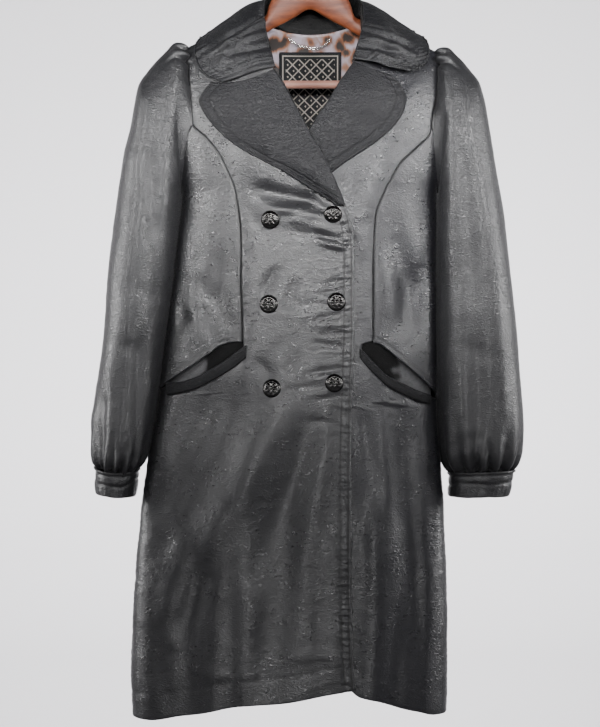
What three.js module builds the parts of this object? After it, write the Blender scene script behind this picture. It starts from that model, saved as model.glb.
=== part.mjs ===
// A double-breasted trench coat with puff sleeves, hung on a wooden hanger.
// Millimetres, +Z up, -Y to the front of the coat; the origin is the inside top of the hook.
// Tables give a drop, which is the distance below the origin.
import * as THREE from "three";

const CLOTH = 2;
const SEAM_GAP = 0.5;
const SEAT_GAP = 0.4;
const BACK_HEM_RISE = 31;
const LENS_POWER = 2.4;
const SHOULDER_ROUND = 130;
const ROUND_POWER = 0.6;
const SIDE_CLEARANCE = 0.0036;
const RIDGE_GAP = 0.1;
const LAYER_STEP = 3;
const OVER_STEP = 4;
const SLEEVE_GAP = 3;
const SLEEVE_AROUND = 28;
const SLEEVE_GATHER = 1.6;
const CUFF_AROUND = 28;
const BUTTON_RADIUS = 12.5;
const BUTTON_HEIGHT = 6.5;
const HOOK_WIRE_RADIUS = 2;
const HOOK_BEND_RADIUS = 23;
const WOOD_TOP_DROP = 61;
const BAR_RADIUS = 5.5;
const BAR_HALF_LENGTH = 173;
const BAR_DROP = 214;
const CHAIN_RADIUS = 1.2;
const BACKING_SLOPE = 0.16;

// Body sections: side edges of the silhouette, and depths in front of and behind the side seam.
const BODY = [
  { drop: 90, left: -195, right: 199, front: 50, back: 46 },
  { drop: 166, left: -195, right: 199, front: 52, back: 46 },
  { drop: 236, left: -196, right: 200, front: 56, back: 46 },
  { drop: 290, left: -190, right: 190, front: 58, back: 45 },
  { drop: 335, left: -180, right: 179, front: 58, back: 44 },
  { drop: 364, left: -173, right: 172, front: 57, back: 43 },
  { drop: 420, left: -179, right: 171.5, front: 56, back: 41 },
  { drop: 479, left: -185, right: 171.5, front: 55, back: 40 },
  { drop: 560, left: -197, right: 171.5, front: 56, back: 40 },
  { drop: 641, left: -206.5, right: 172, front: 58, back: 42 },
  { drop: 717, left: -219, right: 177, front: 60, back: 45 },
  { drop: 790, left: -228, right: 181, front: 62, back: 48 },
  { drop: 871, left: -236, right: 184, front: 65, back: 51 },
  { drop: 945, left: -240, right: 186, front: 67, back: 54 },
  { drop: 1000, left: -242, right: 186, front: 68, back: 56 },
  { drop: 1080, left: -240, right: 185, front: 69, back: 58 },
];

// The ridge of the shoulders, from the left sleeve over the neck to the right sleeve.
const SHOULDER = [
  { x: -210, drop: 187.5 },
  { x: -167, drop: 166 },
  { x: -71, drop: 118 },
  { x: -35, drop: 103 },
  { x: 0, drop: 98 },
  { x: 35, drop: 104 },
  { x: 71, drop: 119.5 },
  { x: 171.5, drop: 170 },
  { x: 214.5, drop: 191.5 },
];

// Edge where the left and right sleeves are set in.
const ARMHOLE = [
  { drop: 160, left: -167, right: 171.5 },
  { drop: 170, left: -166.5, right: 171.5 },
  { drop: 196, left: -164, right: 172 },
  { drop: 236, left: -160, right: 169.5 },
  { drop: 270, left: -158, right: 163.5 },
  { drop: 297, left: -163, right: 164 },
  { drop: 335, left: -169, right: 168 },
  { drop: 364, left: -173, right: 172 },
];

// Outer edges of the wearer's right front: armhole, princess seam, pocket line, side seam.
const RIGHT_FRONT_SIDE = [
  { drop: 160, x: -167 },
  { drop: 196, x: -164 },
  { drop: 236, x: -160 },
  { drop: 270, x: -157.5 },
  { drop: 290, x: -138.5 },
  { drop: 313, x: -120.5 },
  { drop: 333, x: -110.5 },
  { drop: 358, x: -100.5 },
  { drop: 385, x: -95.5 },
  { drop: 412, x: -92.5 },
  { drop: 479, x: -91.5 },
  { drop: 560, x: -89.5 },
  { drop: 571, x: -89 },
  { drop: 587, x: -107 },
  { drop: 600, x: -127 },
  { drop: 614, x: -154 },
  { drop: 623, x: -191 },
  { drop: 632, x: -270 },
  { drop: 1100, x: -300 },
];

// Neck edge, roll line and front edge of the wearer's right front.
const RIGHT_FRONT_EDGE = [
  { drop: 118, x: -71 },
  { drop: 139, x: -71 },
  { drop: 156, x: -69 },
  { drop: 172, x: -65 },
  { drop: 184, x: -60 },
  { drop: 198, x: -50 },
  { drop: 212, x: -40 },
  { drop: 236, x: -27 },
  { drop: 263, x: -13 },
  { drop: 283, x: -3 },
  { drop: 304, x: 8 },
  { drop: 324, x: 19 },
  { drop: 344, x: 30 },
  { drop: 367, x: 40 },
  { drop: 385, x: 47 },
  { drop: 418, x: 55 },
  { drop: 452, x: 57 },
  { drop: 560, x: 57 },
  { drop: 614, x: 55 },
  { drop: 722, x: 53 },
  { drop: 884, x: 53 },
  { drop: 979, x: 55 },
  { drop: 1023, x: 59 },
];

// Neck edge, roll line and hidden edge of the wearer's left front.
const LEFT_FRONT_EDGE = [
  { drop: 119, x: 71 },
  { drop: 139, x: 72 },
  { drop: 156, x: 72 },
  { drop: 168, x: 69 },
  { drop: 178, x: 65 },
  { drop: 186, x: 60 },
  { drop: 206, x: 47 },
  { drop: 220, x: 38 },
  { drop: 240, x: 27 },
  { drop: 260, x: 13 },
  { drop: 281, x: 3 },
  { drop: 320, x: -24 },
  { drop: 360, x: -50 },
  { drop: 400, x: -68 },
  { drop: 440, x: -75 },
  { drop: 1100, x: -75 },
];

const LEFT_FRONT_SIDE = [
  { drop: 160, x: 171.5 },
  { drop: 209, x: 171.5 },
  { drop: 231, x: 169.5 },
  { drop: 261, x: 163 },
  { drop: 282, x: 161.5 },
  { drop: 304, x: 141.5 },
  { drop: 324, x: 120.5 },
  { drop: 347, x: 107.5 },
  { drop: 371, x: 95.5 },
  { drop: 391, x: 88.5 },
  { drop: 425, x: 85.5 },
  { drop: 479, x: 84.5 },
  { drop: 562, x: 84.5 },
  { drop: 567, x: 70 },
  { drop: 574, x: 69 },
  { drop: 590, x: 81 },
  { drop: 605, x: 95 },
  { drop: 616, x: 112 },
  { drop: 622, x: 127 },
  { drop: 630, x: 143 },
  { drop: 637, x: 162 },
  { drop: 645, x: 240 },
  { drop: 1100, x: 300 },
];

// Grid rows of the fronts: drop at the side edge and at the inner edge.
const FRONT_ROWS = [
  { side: 166, inner: 119.5 },
  { side: 170, inner: 123 },
  { side: 179, inner: 132 },
  { side: 196, inner: 152 },
  { side: 220, inner: 178 },
  { side: 245, inner: 207 },
  { side: 272, inner: 236 },
  { side: 302, inner: 266 },
  { side: 335, inner: 300 },
  { side: 372, inner: 340 },
  { side: 412, inner: 382 },
  { side: 455, inner: 425 },
  { side: 500, inner: 470 },
  { side: 538, inner: 512 },
  { side: 560, inner: 542 },
  { side: 567, inner: 556 },
  { side: 575, inner: 570 },
  { side: 589, inner: 588 },
  { side: 603, inner: 608 },
  { side: 616, inner: 628 },
  { side: 628, inner: 646 },
  { side: 642, inner: 664 },
  { side: 690, inner: 710 },
  { side: 750, inner: 762 },
  { side: 815, inner: 820 },
  { side: 880, inner: 880 },
  { side: 945, inner: 940 },
  { side: 1005, inner: 985 },
  { side: 1066, inner: 1023 },
];

const HEM_RIGHT = [
  { x: -250, drop: 1066 },
  { x: -216, drop: 1068 },
  { x: -175, drop: 1061 },
  { x: -148, drop: 1057 },
  { x: -94, drop: 1046 },
  { x: -40, drop: 1042 },
  { x: 27, drop: 1030 },
  { x: 59, drop: 1025 },
];

const HEM_LEFT = [
  { x: -75, drop: 1018 },
  { x: 45, drop: 1020 },
  { x: 65, drop: 1034 },
  { x: 94, drop: 1041 },
  { x: 121, drop: 1050 },
  { x: 148, drop: 1057 },
  { x: 169, drop: 1062 },
  { x: 190, drop: 1062 },
];

// Upper lips of the pockets.
const LIP_RIGHT = [
  { x: -210, drop: 631 },
  { x: -192, drop: 616 },
  { x: -162, drop: 597 },
  { x: -135, drop: 578 },
  { x: -119, drop: 566 },
  { x: -101, drop: 562 },
  { x: -85, drop: 563 },
];

const LIP_LEFT = [
  { x: 85, drop: 563 },
  { x: 90, drop: 564 },
  { x: 103, drop: 572 },
  { x: 121, drop: 587 },
  { x: 139, drop: 601 },
  { x: 154, drop: 614 },
  { x: 169, drop: 629 },
  { x: 175, drop: 635 },
];

// Welts: one row for each section across the strip.
const WELT_RIGHT = [
  { x: -193, top: 619, bottom: 634 },
  { x: -176, top: 617.5, bottom: 631 },
  { x: -155, top: 612, bottom: 626 },
  { x: -128, top: 598, bottom: 613 },
  { x: -108, top: 585, bottom: 601 },
  { x: -96, top: 576, bottom: 592 },
  { x: -86, top: 569, bottom: 584 },
];

const WELT_LEFT = [
  { x: 66, top: 573, bottom: 584 },
  { x: 74, top: 580, bottom: 594 },
  { x: 90, top: 597, bottom: 610 },
  { x: 103, top: 609, bottom: 621 },
  { x: 123, top: 619, bottom: 632 },
  { x: 144, top: 629, bottom: 641 },
  { x: 162, top: 635, bottom: 647 },
];

const BACKING_RIGHT = [
  { x: -180, top: 594, bottom: 624 },
  { x: -160, top: 580, bottom: 624 },
  { x: -128, top: 560, bottom: 609 },
  { x: -104, top: 550, bottom: 592 },
  { x: -84, top: 548, bottom: 580 },
];

const BACKING_LEFT = [
  { x: 62, top: 552, bottom: 582 },
  { x: 82, top: 552, bottom: 600 },
  { x: 103, top: 558, bottom: 618 },
  { x: 130, top: 578, bottom: 629 },
  { x: 149, top: 595, bottom: 633 },
];

// Lapels: roll line, outer edge, how far the row sags between them, and how far it rolls forward.
const LAPEL_RIGHT = [
  { rollX: -50, rollDrop: 201, outX: -131, outDrop: 216, sag: 8, roll: 5 },
  { rollX: -44, rollDrop: 209, outX: -147, outDrop: 240, sag: 5, roll: 5 },
  { rollX: -33, rollDrop: 227, outX: -140, outDrop: 257, sag: 2, roll: 5 },
  { rollX: -20, rollDrop: 251, outX: -128, outDrop: 274, sag: 0, roll: 5 },
  { rollX: -7, rollDrop: 276, outX: -112, outDrop: 290, sag: 0, roll: 5 },
  { rollX: 4, rollDrop: 297, outX: -94, outDrop: 304, sag: 0, roll: 5 },
  { rollX: 14, rollDrop: 315, outX: -67, outDrop: 320, sag: 0, roll: 5 },
  { rollX: 22, rollDrop: 330, outX: -40, outDrop: 333, sag: 0, roll: 4.5 },
  { rollX: 30, rollDrop: 345, outX: -13, outDrop: 350, sag: 0, roll: 4 },
  { rollX: 39, rollDrop: 364, outX: 13, outDrop: 366, sag: 0, roll: 3 },
  { rollX: 46, rollDrop: 382, outX: 36, outDrop: 381, sag: 0, roll: 2 },
];

const LAPEL_LEFT = [
  { rollX: 59, rollDrop: 190, outX: 108, outDrop: 206, sag: 2, roll: 5 },
  { rollX: 52, rollDrop: 200, outX: 121, outDrop: 221, sag: 1, roll: 5 },
  { rollX: 45, rollDrop: 210, outX: 127, outDrop: 237, sag: 0, roll: 5 },
  { rollX: 36, rollDrop: 224, outX: 125, outDrop: 250, sag: 0, roll: 5 },
  { rollX: 27, rollDrop: 240, outX: 117, outDrop: 266, sag: 0, roll: 4 },
  { rollX: 16, rollDrop: 256, outX: 104, outDrop: 281, sag: 0, roll: 2.5 },
  { rollX: 5, rollDrop: 273, outX: 84, outDrop: 298, sag: 0, roll: 1.2 },
  { rollX: -4, rollDrop: 287, outX: 62, outDrop: 312, sag: 0, roll: 0.4 },
  { rollX: -12, rollDrop: 299, outX: 44, outDrop: 324, sag: 0, roll: 0 },
  { rollX: -18, rollDrop: 309, outX: 27, outDrop: 337, sag: 0, roll: 0 },
];

// Collar leaf: each row is a section from the fold over two middle points to the outer edge.
const COLLAR = [
  { fx: -49, fy: -55, fd: 197, ax: -72, ay: -57, ad: 202, bx: -96, by: -52, bd: 210, ex: -118, ey: -47, ed: 216 },
  { fx: -51, fy: -52, fd: 186, ax: -78, ay: -55, ad: 189, bx: -110, by: -45, bd: 195, ex: -140, ey: -35, ed: 203 },
  { fx: -54, fy: -48, fd: 174, ax: -82, ay: -51, ad: 173, bx: -118, by: -37, bd: 177, ex: -151, ey: -25, ed: 184 },
  { fx: -57, fy: -41, fd: 160, ax: -86, ay: -43, ad: 157, bx: -122, by: -29, bd: 160, ex: -153, ey: -18, ed: 168 },
  { fx: -61, fy: -30, fd: 143, ax: -90, ay: -31, ad: 139, bx: -122, by: -19, bd: 146, ex: -152, ey: -9, ed: 159 },
  { fx: -63, fy: -15, fd: 122, ax: -90, ay: -13, ad: 119, bx: -120, by: -7, bd: 135, ex: -149, ey: -2, ed: 154 },
  { fx: -61, fy: 2, fd: 99, ax: -86, ay: 4, ad: 106, bx: -115, by: 6, bd: 127, ex: -143, ey: 8, ed: 149 },
  { fx: -48, fy: 20, fd: 94, ax: -69, ay: 25, ad: 101, bx: -92, by: 26, bd: 126, ex: -111, ey: 26, ed: 157 },
  { fx: -25, fy: 31, fd: 92, ax: -37, ay: 41, ad: 99, bx: -50, by: 45, bd: 133, ex: -57, ey: 42, ed: 169 },
  { fx: 5, fy: 35, fd: 91, ax: 5, ay: 45, ad: 98, bx: 5, by: 49, bd: 135, ex: 5, ey: 47, ed: 173 },
  { fx: 33, fy: 31, fd: 92, ax: 46, ay: 41, ad: 99, bx: 59, by: 45, bd: 133, ex: 66, ey: 42, ed: 169 },
  { fx: 56, fy: 20, fd: 94, ax: 78, ay: 25, ad: 101, bx: 101, by: 26, bd: 126, ex: 120, ey: 26, ed: 157 },
  { fx: 71, fy: 2, fd: 100, ax: 93, ay: 4, ad: 108, bx: 120, by: 6, bd: 127, ex: 147, ey: 8, ed: 149 },
  { fx: 73, fy: -14, fd: 118, ax: 96, ay: -13, ad: 121, bx: 126, by: -7, bd: 136, ex: 153, ey: -2, ed: 154 },
  { fx: 73, fy: -27, fd: 136, ax: 98, ay: -30, ad: 137, bx: 128, by: -19, bd: 146, ex: 156, ey: -9, ed: 159 },
  { fx: 69, fy: -38, fd: 152, ax: 97, ay: -42, ad: 151, bx: 130, by: -29, bd: 158, ex: 158, ey: -18, ed: 168 },
  { fx: 65, fy: -44, fd: 164, ax: 93, ay: -50, ad: 164, bx: 126, by: -38, bd: 172, ex: 157, ey: -27, ed: 180 },
  { fx: 62, fy: -48, fd: 175, ax: 90, ay: -54, ad: 177, bx: 120, by: -45, bd: 185, ex: 150, ey: -36, ed: 192 },
  { fx: 59, fy: -51, fd: 186, ax: 83, ay: -56, ad: 190, bx: 108, by: -51, bd: 197, ex: 134, ey: -46, ed: 202 },
];

// Foot of the collar stand; the fold above it is the collar's.
const STAND_FOOT = [
  { x: -45.5, y: -46, drop: 198 },
  { x: -51, y: -42, drop: 190 },
  { x: -57, y: -38, drop: 181 },
  { x: -63, y: -35, drop: 170 },
  { x: -67, y: -26, drop: 154 },
  { x: -68.5, y: -14, drop: 136 },
  { x: -68, y: 3, drop: 118 },
  { x: -55, y: 18, drop: 126 },
  { x: -31, y: 27, drop: 139 },
  { x: 5, y: 30, drop: 144.5 },
  { x: 39, y: 27, drop: 140 },
  { x: 61, y: 18, drop: 127 },
  { x: 68.5, y: 3, drop: 119.5 },
  { x: 69.5, y: -14, drop: 136 },
  { x: 69.5, y: -25, drop: 150 },
  { x: 67, y: -33, drop: 163 },
  { x: 64, y: -38, drop: 173 },
  { x: 60.5, y: -43, drop: 181 },
  { x: 57.5, y: -47, drop: 188 },
];

const BACK_NECK = [
  { x: -167, drop: 166 },
  { x: -71, drop: 118.5 },
  { x: -57, drop: 129 },
  { x: -33, drop: 142 },
  { x: 5, drop: 147.5 },
  { x: 41, drop: 143 },
  { x: 63, drop: 130 },
  { x: 71, drop: 120 },
  { x: 171.5, drop: 170 },
];

const BACK_ROWS = [0, 4, 13, 32, 60, 95, 135, 180, 225, 275, 330, 385, 440, 500, 560, 620, 680, 740, 800, 850, 895];

// Sleeves: outer and inner points of each ring, half depths, and how much lower its front is.
const SLEEVE_RIGHT = [
  { outX: -167, outDrop: 166, inX: -173.5, inDrop: 363, front: 36, back: 32, dip: 0 },
  { outX: -181, outDrop: 161, inX: -175.5, inDrop: 366, front: 46, back: 42, dip: 0 },
  { outX: -201, outDrop: 175.5, inX: -175, inDrop: 370, front: 53, back: 48, dip: 0 },
  { outX: -220, outDrop: 197, inX: -175, inDrop: 375, front: 57, back: 51, dip: 0 },
  { outX: -232, outDrop: 215, inX: -175.6, inDrop: 381, front: 59, back: 52, dip: 0 },
  { outX: -238, outDrop: 243, inX: -176.6, inDrop: 390, front: 60, back: 53, dip: 0 },
  { outX: -243, outDrop: 274, inX: -177.8, inDrop: 401, front: 60, back: 53, dip: 0 },
  { outX: -251, outDrop: 306, inX: -179.5, inDrop: 417, front: 60, back: 53, dip: 0 },
  { outX: -259, outDrop: 358, inX: -182.1, inDrop: 443, front: 59, back: 52, dip: 0 },
  { outX: -267, outDrop: 414, inX: -185.3, inDrop: 474, front: 58, back: 51, dip: 0 },
  { outX: -274, outDrop: 472, inX: -191, inDrop: 514, front: 57, back: 50, dip: 0 },
  { outX: -278, outDrop: 533, inX: -197.9, inDrop: 561, front: 56, back: 49, dip: 1 },
  { outX: -284, outDrop: 587, inX: -203.4, inDrop: 608, front: 55, back: 48, dip: 2 },
  { outX: -290, outDrop: 632, inX: -208.6, inDrop: 649, front: 54, back: 47, dip: 3 },
  { outX: -295.5, outDrop: 672, inX: -214, inDrop: 682, front: 53, back: 46, dip: 5 },
  { outX: -295.5, outDrop: 705, inX: -218.8, inDrop: 710, front: 50, back: 43, dip: 6 },
  { outX: -293.5, outDrop: 722, inX: -225, inDrop: 725, front: 45, back: 38, dip: 7 },
  { outX: -290.5, outDrop: 729.5, inX: -233, inDrop: 732, front: 38, back: 33, dip: 7 },
];

const SLEEVE_LEFT = [
  { outX: 171.5, outDrop: 170, inX: 172.5, inDrop: 363, front: 36, back: 32, dip: 0 },
  { outX: 185, outDrop: 168, inX: 174.5, inDrop: 366, front: 46, back: 42, dip: 0 },
  { outX: 201, outDrop: 178, inX: 173.6, inDrop: 370, front: 53, back: 48, dip: 0 },
  { outX: 217, outDrop: 196, inX: 172.8, inDrop: 375, front: 57, back: 51, dip: 0 },
  { outX: 229, outDrop: 212, inX: 172.6, inDrop: 381, front: 59, back: 52, dip: 0 },
  { outX: 237, outDrop: 240, inX: 172.6, inDrop: 391, front: 60, back: 53, dip: 0 },
  { outX: 242, outDrop: 268, inX: 172.5, inDrop: 404, front: 60, back: 53, dip: 0 },
  { outX: 248, outDrop: 304, inX: 172.4, inDrop: 424, front: 60, back: 53, dip: 0 },
  { outX: 256, outDrop: 352, inX: 172.4, inDrop: 452, front: 59, back: 52, dip: 0 },
  { outX: 264, outDrop: 404, inX: 172.4, inDrop: 486, front: 58, back: 51, dip: 0 },
  { outX: 271, outDrop: 462, inX: 172.4, inDrop: 526, front: 57, back: 50, dip: 0 },
  { outX: 278, outDrop: 520, inX: 172.4, inDrop: 566, front: 56, back: 49, dip: 0 },
  { outX: 283, outDrop: 576, inX: 172.6, inDrop: 608, front: 55, back: 48, dip: 0 },
  { outX: 287, outDrop: 630, inX: 173.4, inDrop: 650, front: 54, back: 47, dip: 0 },
  { outX: 289, outDrop: 675, inX: 176, inDrop: 690, front: 53, back: 46, dip: 0 },
  { outX: 287, outDrop: 708, inX: 177.8, inDrop: 715, front: 50, back: 43, dip: 0 },
  { outX: 283, outDrop: 724, inX: 181.5, inDrop: 730, front: 45, back: 38, dip: 0 },
  { outX: 277, outDrop: 735, inX: 187, inDrop: 738.5, front: 38, back: 33, dip: 0 },
];

// Tucks at the top of each sleeve: angle from the top, and depth at each of the first rings.
const TUCK_ANGLES = [1, 3];
const TUCK_DEPTHS = [1.2, 3, 2.5, 1.5];

const CUFF_RIGHT = [
  { outX: -290.5, outDrop: 730, inX: -233, inDrop: 732.5, front: 38, back: 33, dip: 7 },
  { outX: -290.5, outDrop: 750, inX: -235, inDrop: 752, front: 37, back: 32, dip: 5 },
  { outX: -290, outDrop: 767, inX: -237.5, inDrop: 769, front: 36, back: 31, dip: 2 },
];

const CUFF_LEFT = [
  { outX: 277, outDrop: 735.5, inX: 187, inDrop: 739, front: 38, back: 33, dip: 0 },
  { outX: 273, outDrop: 753, inX: 186.5, inDrop: 755, front: 37, back: 32, dip: 2 },
  { outX: 269, outDrop: 769, inX: 186.5, inDrop: 769, front: 36, back: 31, dip: 2 },
];

// Large folds: a line on the front or back, its half width, and its depth (a ridge is negative).
const FRONT_FOLDS = [
  { x0: -119, d0: 455, x1: -113, d1: 560, width: 16, depth: 5 },
  { x0: 118, d0: 440, x1: 150, d1: 575, width: 17, depth: 6 },
  { x0: -140, d0: 640, x1: -212, d1: 790, width: 20, depth: 8 },
  { x0: -67, d0: 668, x1: -135, d1: 857, width: 26, depth: -7 },
  { x0: 122, d0: 660, x1: 140, d1: 930, width: 20, depth: 8 },
  { x0: -20, d0: 700, x1: -48, d1: 1000, width: 24, depth: 5 },
  { x0: -150, d0: 860, x1: -165, d1: 1050, width: 22, depth: 6 },
  { x0: 90, d0: 760, x1: 84, d1: 1040, width: 18, depth: -5 },
];

const BACK_FOLDS = [
  { x0: -120, d0: 480, x1: -150, d1: 1050, width: 24, depth: 8 },
  { x0: -40, d0: 640, x1: -55, d1: 1060, width: 26, depth: 7 },
  { x0: 45, d0: 560, x1: 50, d1: 1050, width: 24, depth: 8 },
  { x0: 120, d0: 620, x1: 130, d1: 1050, width: 22, depth: 7 },
  { x0: -85, d0: 600, x1: -105, d1: 1060, width: 22, depth: -5 },
];

const SLEEVE_FOLDS = [
  { x0: -212, d0: 315, x1: -208, d1: 420, width: 12, depth: 6 },
  { x0: -228, d0: 560, x1: -228, d1: 690, width: 12, depth: 6 },
  { x0: -282, d0: 640, x1: -280, d1: 700, width: 10, depth: 4 },
  { x0: -236, d0: 400, x1: -246, d1: 560, width: 18, depth: -5 },
  { x0: 205, d0: 320, x1: 215, d1: 480, width: 14, depth: 6 },
  { x0: 240, d0: 380, x1: 252, d1: 600, width: 16, depth: -5 },
  { x0: 222, d0: 560, x1: 226, d1: 690, width: 13, depth: 5 },
];

const BUTTONS = [
  { name: "button_1", x: -53, drop: 401, gap: 0.4 },
  { name: "button_2", x: 30, drop: 394, gap: 0.4 },
  { name: "button_3", x: -55, drop: 513, gap: 0.4 },
  { name: "button_4", x: 35, drop: 510, gap: 0.4 },
  { name: "button_5", x: -51, drop: 625, gap: 1.3 },
  { name: "button_6", x: 32, drop: 618, gap: 0.4 },
];

// Hanger arms: one row for each section along X, mirrored.
const WOOD = [
  { x: 0, top: 61, bottom: 112, half: 7 },
  { x: 20, top: 64, bottom: 122, half: 7 },
  { x: 36, top: 72, bottom: 131, half: 7 },
  { x: 50, top: 95, bottom: 138, half: 6.5 },
  { x: 56, top: 108, bottom: 142, half: 6 },
  { x: 63, top: 123.5, bottom: 146, half: 6 },
  { x: 90, top: 132.5, bottom: 160, half: 6 },
  { x: 130, top: 152.5, bottom: 181, half: 6 },
  { x: 166, top: 171, bottom: 200, half: 6 },
  { x: 172, top: 174, bottom: 204, half: 6 },
  { x: 178, top: 177.5, bottom: 222, half: 6 },
  { x: 199, top: 190, bottom: 224, half: 6 },
  { x: 206, top: 198, bottom: 218, half: 4.5 },
];

const LINING = { left: -66, right: 68, bottom: 335, top: 150, rise: 14, behind: 5 };
const LABEL = { left: -42, right: 43, top: 166, bottom: 296, wall: 1, ahead: 1.6 };
const CHAIN = [
  { x: -27, drop: 149 },
  { x: -15, drop: 157 },
  { x: 8, drop: 161 },
  { x: 20, drop: 157 },
  { x: 27, drop: 149 },
];

// Monotone smooth reading of one column of a table at a key.
function read(table, key, column, at) {
  const last = table.length - 1;
  let i = 0;
  while (i < last - 1 && at > table[i + 1][key]) i += 1;
  const slope = (j) => (table[j + 1][column] - table[j][column]) / (table[j + 1][key] - table[j][key]);
  const tangent = (j) => {
    if (j === 0) return slope(0);
    if (j === last) return slope(last - 1);
    const before = slope(j - 1);
    const after = slope(j);
    return before * after <= 0 ? 0 : (2 * before * after) / (before + after);
  };
  const span = table[i + 1][key] - table[i][key];
  const t = Math.min(Math.max((at - table[i][key]) / span, 0), 1);
  const t2 = t * t;
  const t3 = t2 * t;
  const start = (2 * t3 - 3 * t2 + 1) * table[i][column] + (t3 - 2 * t2 + t) * span * tangent(i);
  const end = (3 * t2 - 2 * t3) * table[i + 1][column] + (t3 - t2) * span * tangent(i + 1);
  return start + end;
}

function step(from, to, at) {
  const t = Math.min(Math.max((at - from) / (to - from), 0), 1);
  return t * t * (3 - 2 * t);
}

function mix(a, b, t) {
  return a + (b - a) * t;
}

// Depth taken by a table of folds at a point of the front or back.
function foldDepth(folds, x, drop) {
  let sum = 0;
  for (const f of folds) {
    const dx = f.x1 - f.x0;
    const dd = f.d1 - f.d0;
    const along = ((x - f.x0) * dx + (drop - f.d0) * dd) / (dx * dx + dd * dd);
    const t = Math.min(Math.max(along, 0), 1);
    const off = Math.hypot(x - f.x0 - dx * t, drop - f.d0 - dd * t) / f.width;
    sum += f.depth * Math.exp(-off * off);
  }
  return sum;
}

function section(drop) {
  const left = read(BODY, "drop", "left", drop);
  const right = read(BODY, "drop", "right", drop);
  return {
    centre: (left + right) / 2,
    half: (right - left) / 2,
    front: read(BODY, "drop", "front", drop),
    back: read(BODY, "drop", "back", drop),
  };
}

// Angle across the body section at an X, kept just short of the side seam.
function angleAt(x, drop) {
  const s = section(drop);
  const share = Math.min(Math.abs(x - s.centre) / s.half, 1);
  const angle = Math.asin(Math.pow(share, LENS_POWER / 2));
  return Math.sign(x - s.centre) * Math.min(angle, Math.PI / 2 - SIDE_CLEARANCE);
}

// A point on the body; side is -1 in front and 1 behind, and lift moves it outwards.
function bodyPoint(angle, drop, side, lift) {
  const s = section(drop);
  const x = s.centre + s.half * Math.sign(angle) * Math.pow(Math.abs(Math.sin(angle)), 2 / LENS_POWER);
  const below = Math.max(drop - read(SHOULDER, "x", "drop", x), RIDGE_GAP) / SHOULDER_ROUND;
  const round = below >= 1 ? 1 : Math.pow(Math.sin((below * Math.PI) / 2), ROUND_POWER);
  const full = Math.pow(Math.cos(angle), 2 / LENS_POWER);
  const fold = foldDepth(side < 0 ? FRONT_FOLDS : BACK_FOLDS, x, drop) * Math.min(full * 1.5, 1);
  const depth = (side < 0 ? s.front : s.back) * full * round - fold + lift(x, drop) * Math.min(full * 4, 1);
  return new THREE.Vector3(x, side * Math.max(depth, SEAM_GAP), -drop);
}

function frontAt(x, drop, lift) {
  return bodyPoint(angleAt(x, drop), drop, -1, lift);
}

// The under front is set back near its edge, and the upper front stands forward of it.
const underLift = (x) => -LAYER_STEP * (1 - step(45, 80, x));
const overLift = (x) => OVER_STEP * step(-112, -80, x);
const flat = () => 0;

// Closed wall from a grid of outer points; out is 1 or -1 and turns its normals outwards.
function wall(grid, out, thickness = CLOTH, closed = false, ridgeRow = false) {
  const rows = grid.length;
  const cols = grid[0].length;
  const wrap = (j) => (closed ? (j + cols) % cols : Math.min(Math.max(j, 0), cols - 1));
  const inner = grid.map((row, i) =>
    row.map((p, j) => {
      const across = new THREE.Vector3().subVectors(row[wrap(j + 1)], row[wrap(j - 1)]);
      const down = new THREE.Vector3().subVectors(
        grid[Math.min(i + 1, rows - 1)][j],
        grid[Math.max(i - 1, 0)][j],
      );
      const normal = new THREE.Vector3().crossVectors(across, down).normalize();
      if (ridgeRow && i === 0) normal.set(0, 0, out);
      return new THREE.Vector3().copy(p).addScaledVector(normal, -out * thickness);
    }),
  );
  const positions = [];
  grid.flat().forEach((p) => positions.push(p.x, p.y, p.z));
  inner.flat().forEach((p) => positions.push(p.x, p.y, p.z));
  const outerAt = (i, j) => i * cols + wrap(j);
  const innerAt = (i, j) => rows * cols + i * cols + wrap(j);
  const faces = [];
  const quad = (a, b, c, d) => faces.push(a, b, c, a, c, d);
  const lastCol = closed ? cols : cols - 1;
  for (let i = 0; i < rows - 1; i += 1) {
    for (let j = 0; j < lastCol; j += 1) {
      quad(outerAt(i, j), outerAt(i, j + 1), outerAt(i + 1, j + 1), outerAt(i + 1, j));
      faces.push(innerAt(i, j), innerAt(i + 1, j + 1), innerAt(i, j + 1));
      faces.push(innerAt(i, j), innerAt(i + 1, j), innerAt(i + 1, j + 1));
    }
  }
  for (let j = 0; j < lastCol; j += 1) {
    quad(outerAt(0, j + 1), outerAt(0, j), innerAt(0, j), innerAt(0, j + 1));
    quad(outerAt(rows - 1, j), outerAt(rows - 1, j + 1), innerAt(rows - 1, j + 1), innerAt(rows - 1, j));
  }
  if (!closed) {
    for (let i = 0; i < rows - 1; i += 1) {
      quad(outerAt(i, 0), outerAt(i + 1, 0), innerAt(i + 1, 0), innerAt(i, 0));
      quad(outerAt(i + 1, cols - 1), outerAt(i, cols - 1), innerAt(i, cols - 1), innerAt(i + 1, cols - 1));
    }
  }
  if (out < 0) {
    for (let k = 0; k < faces.length; k += 3) {
      [faces[k + 1], faces[k + 2]] = [faces[k + 2], faces[k + 1]];
    }
  }
  return surface(positions, faces);
}

function surface(positions, faces) {
  const geometry = new THREE.BufferGeometry();
  geometry.setAttribute("position", new THREE.Float32BufferAttribute(positions, 3));
  geometry.setIndex(faces);
  geometry.computeVertexNormals();
  return geometry;
}

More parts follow.
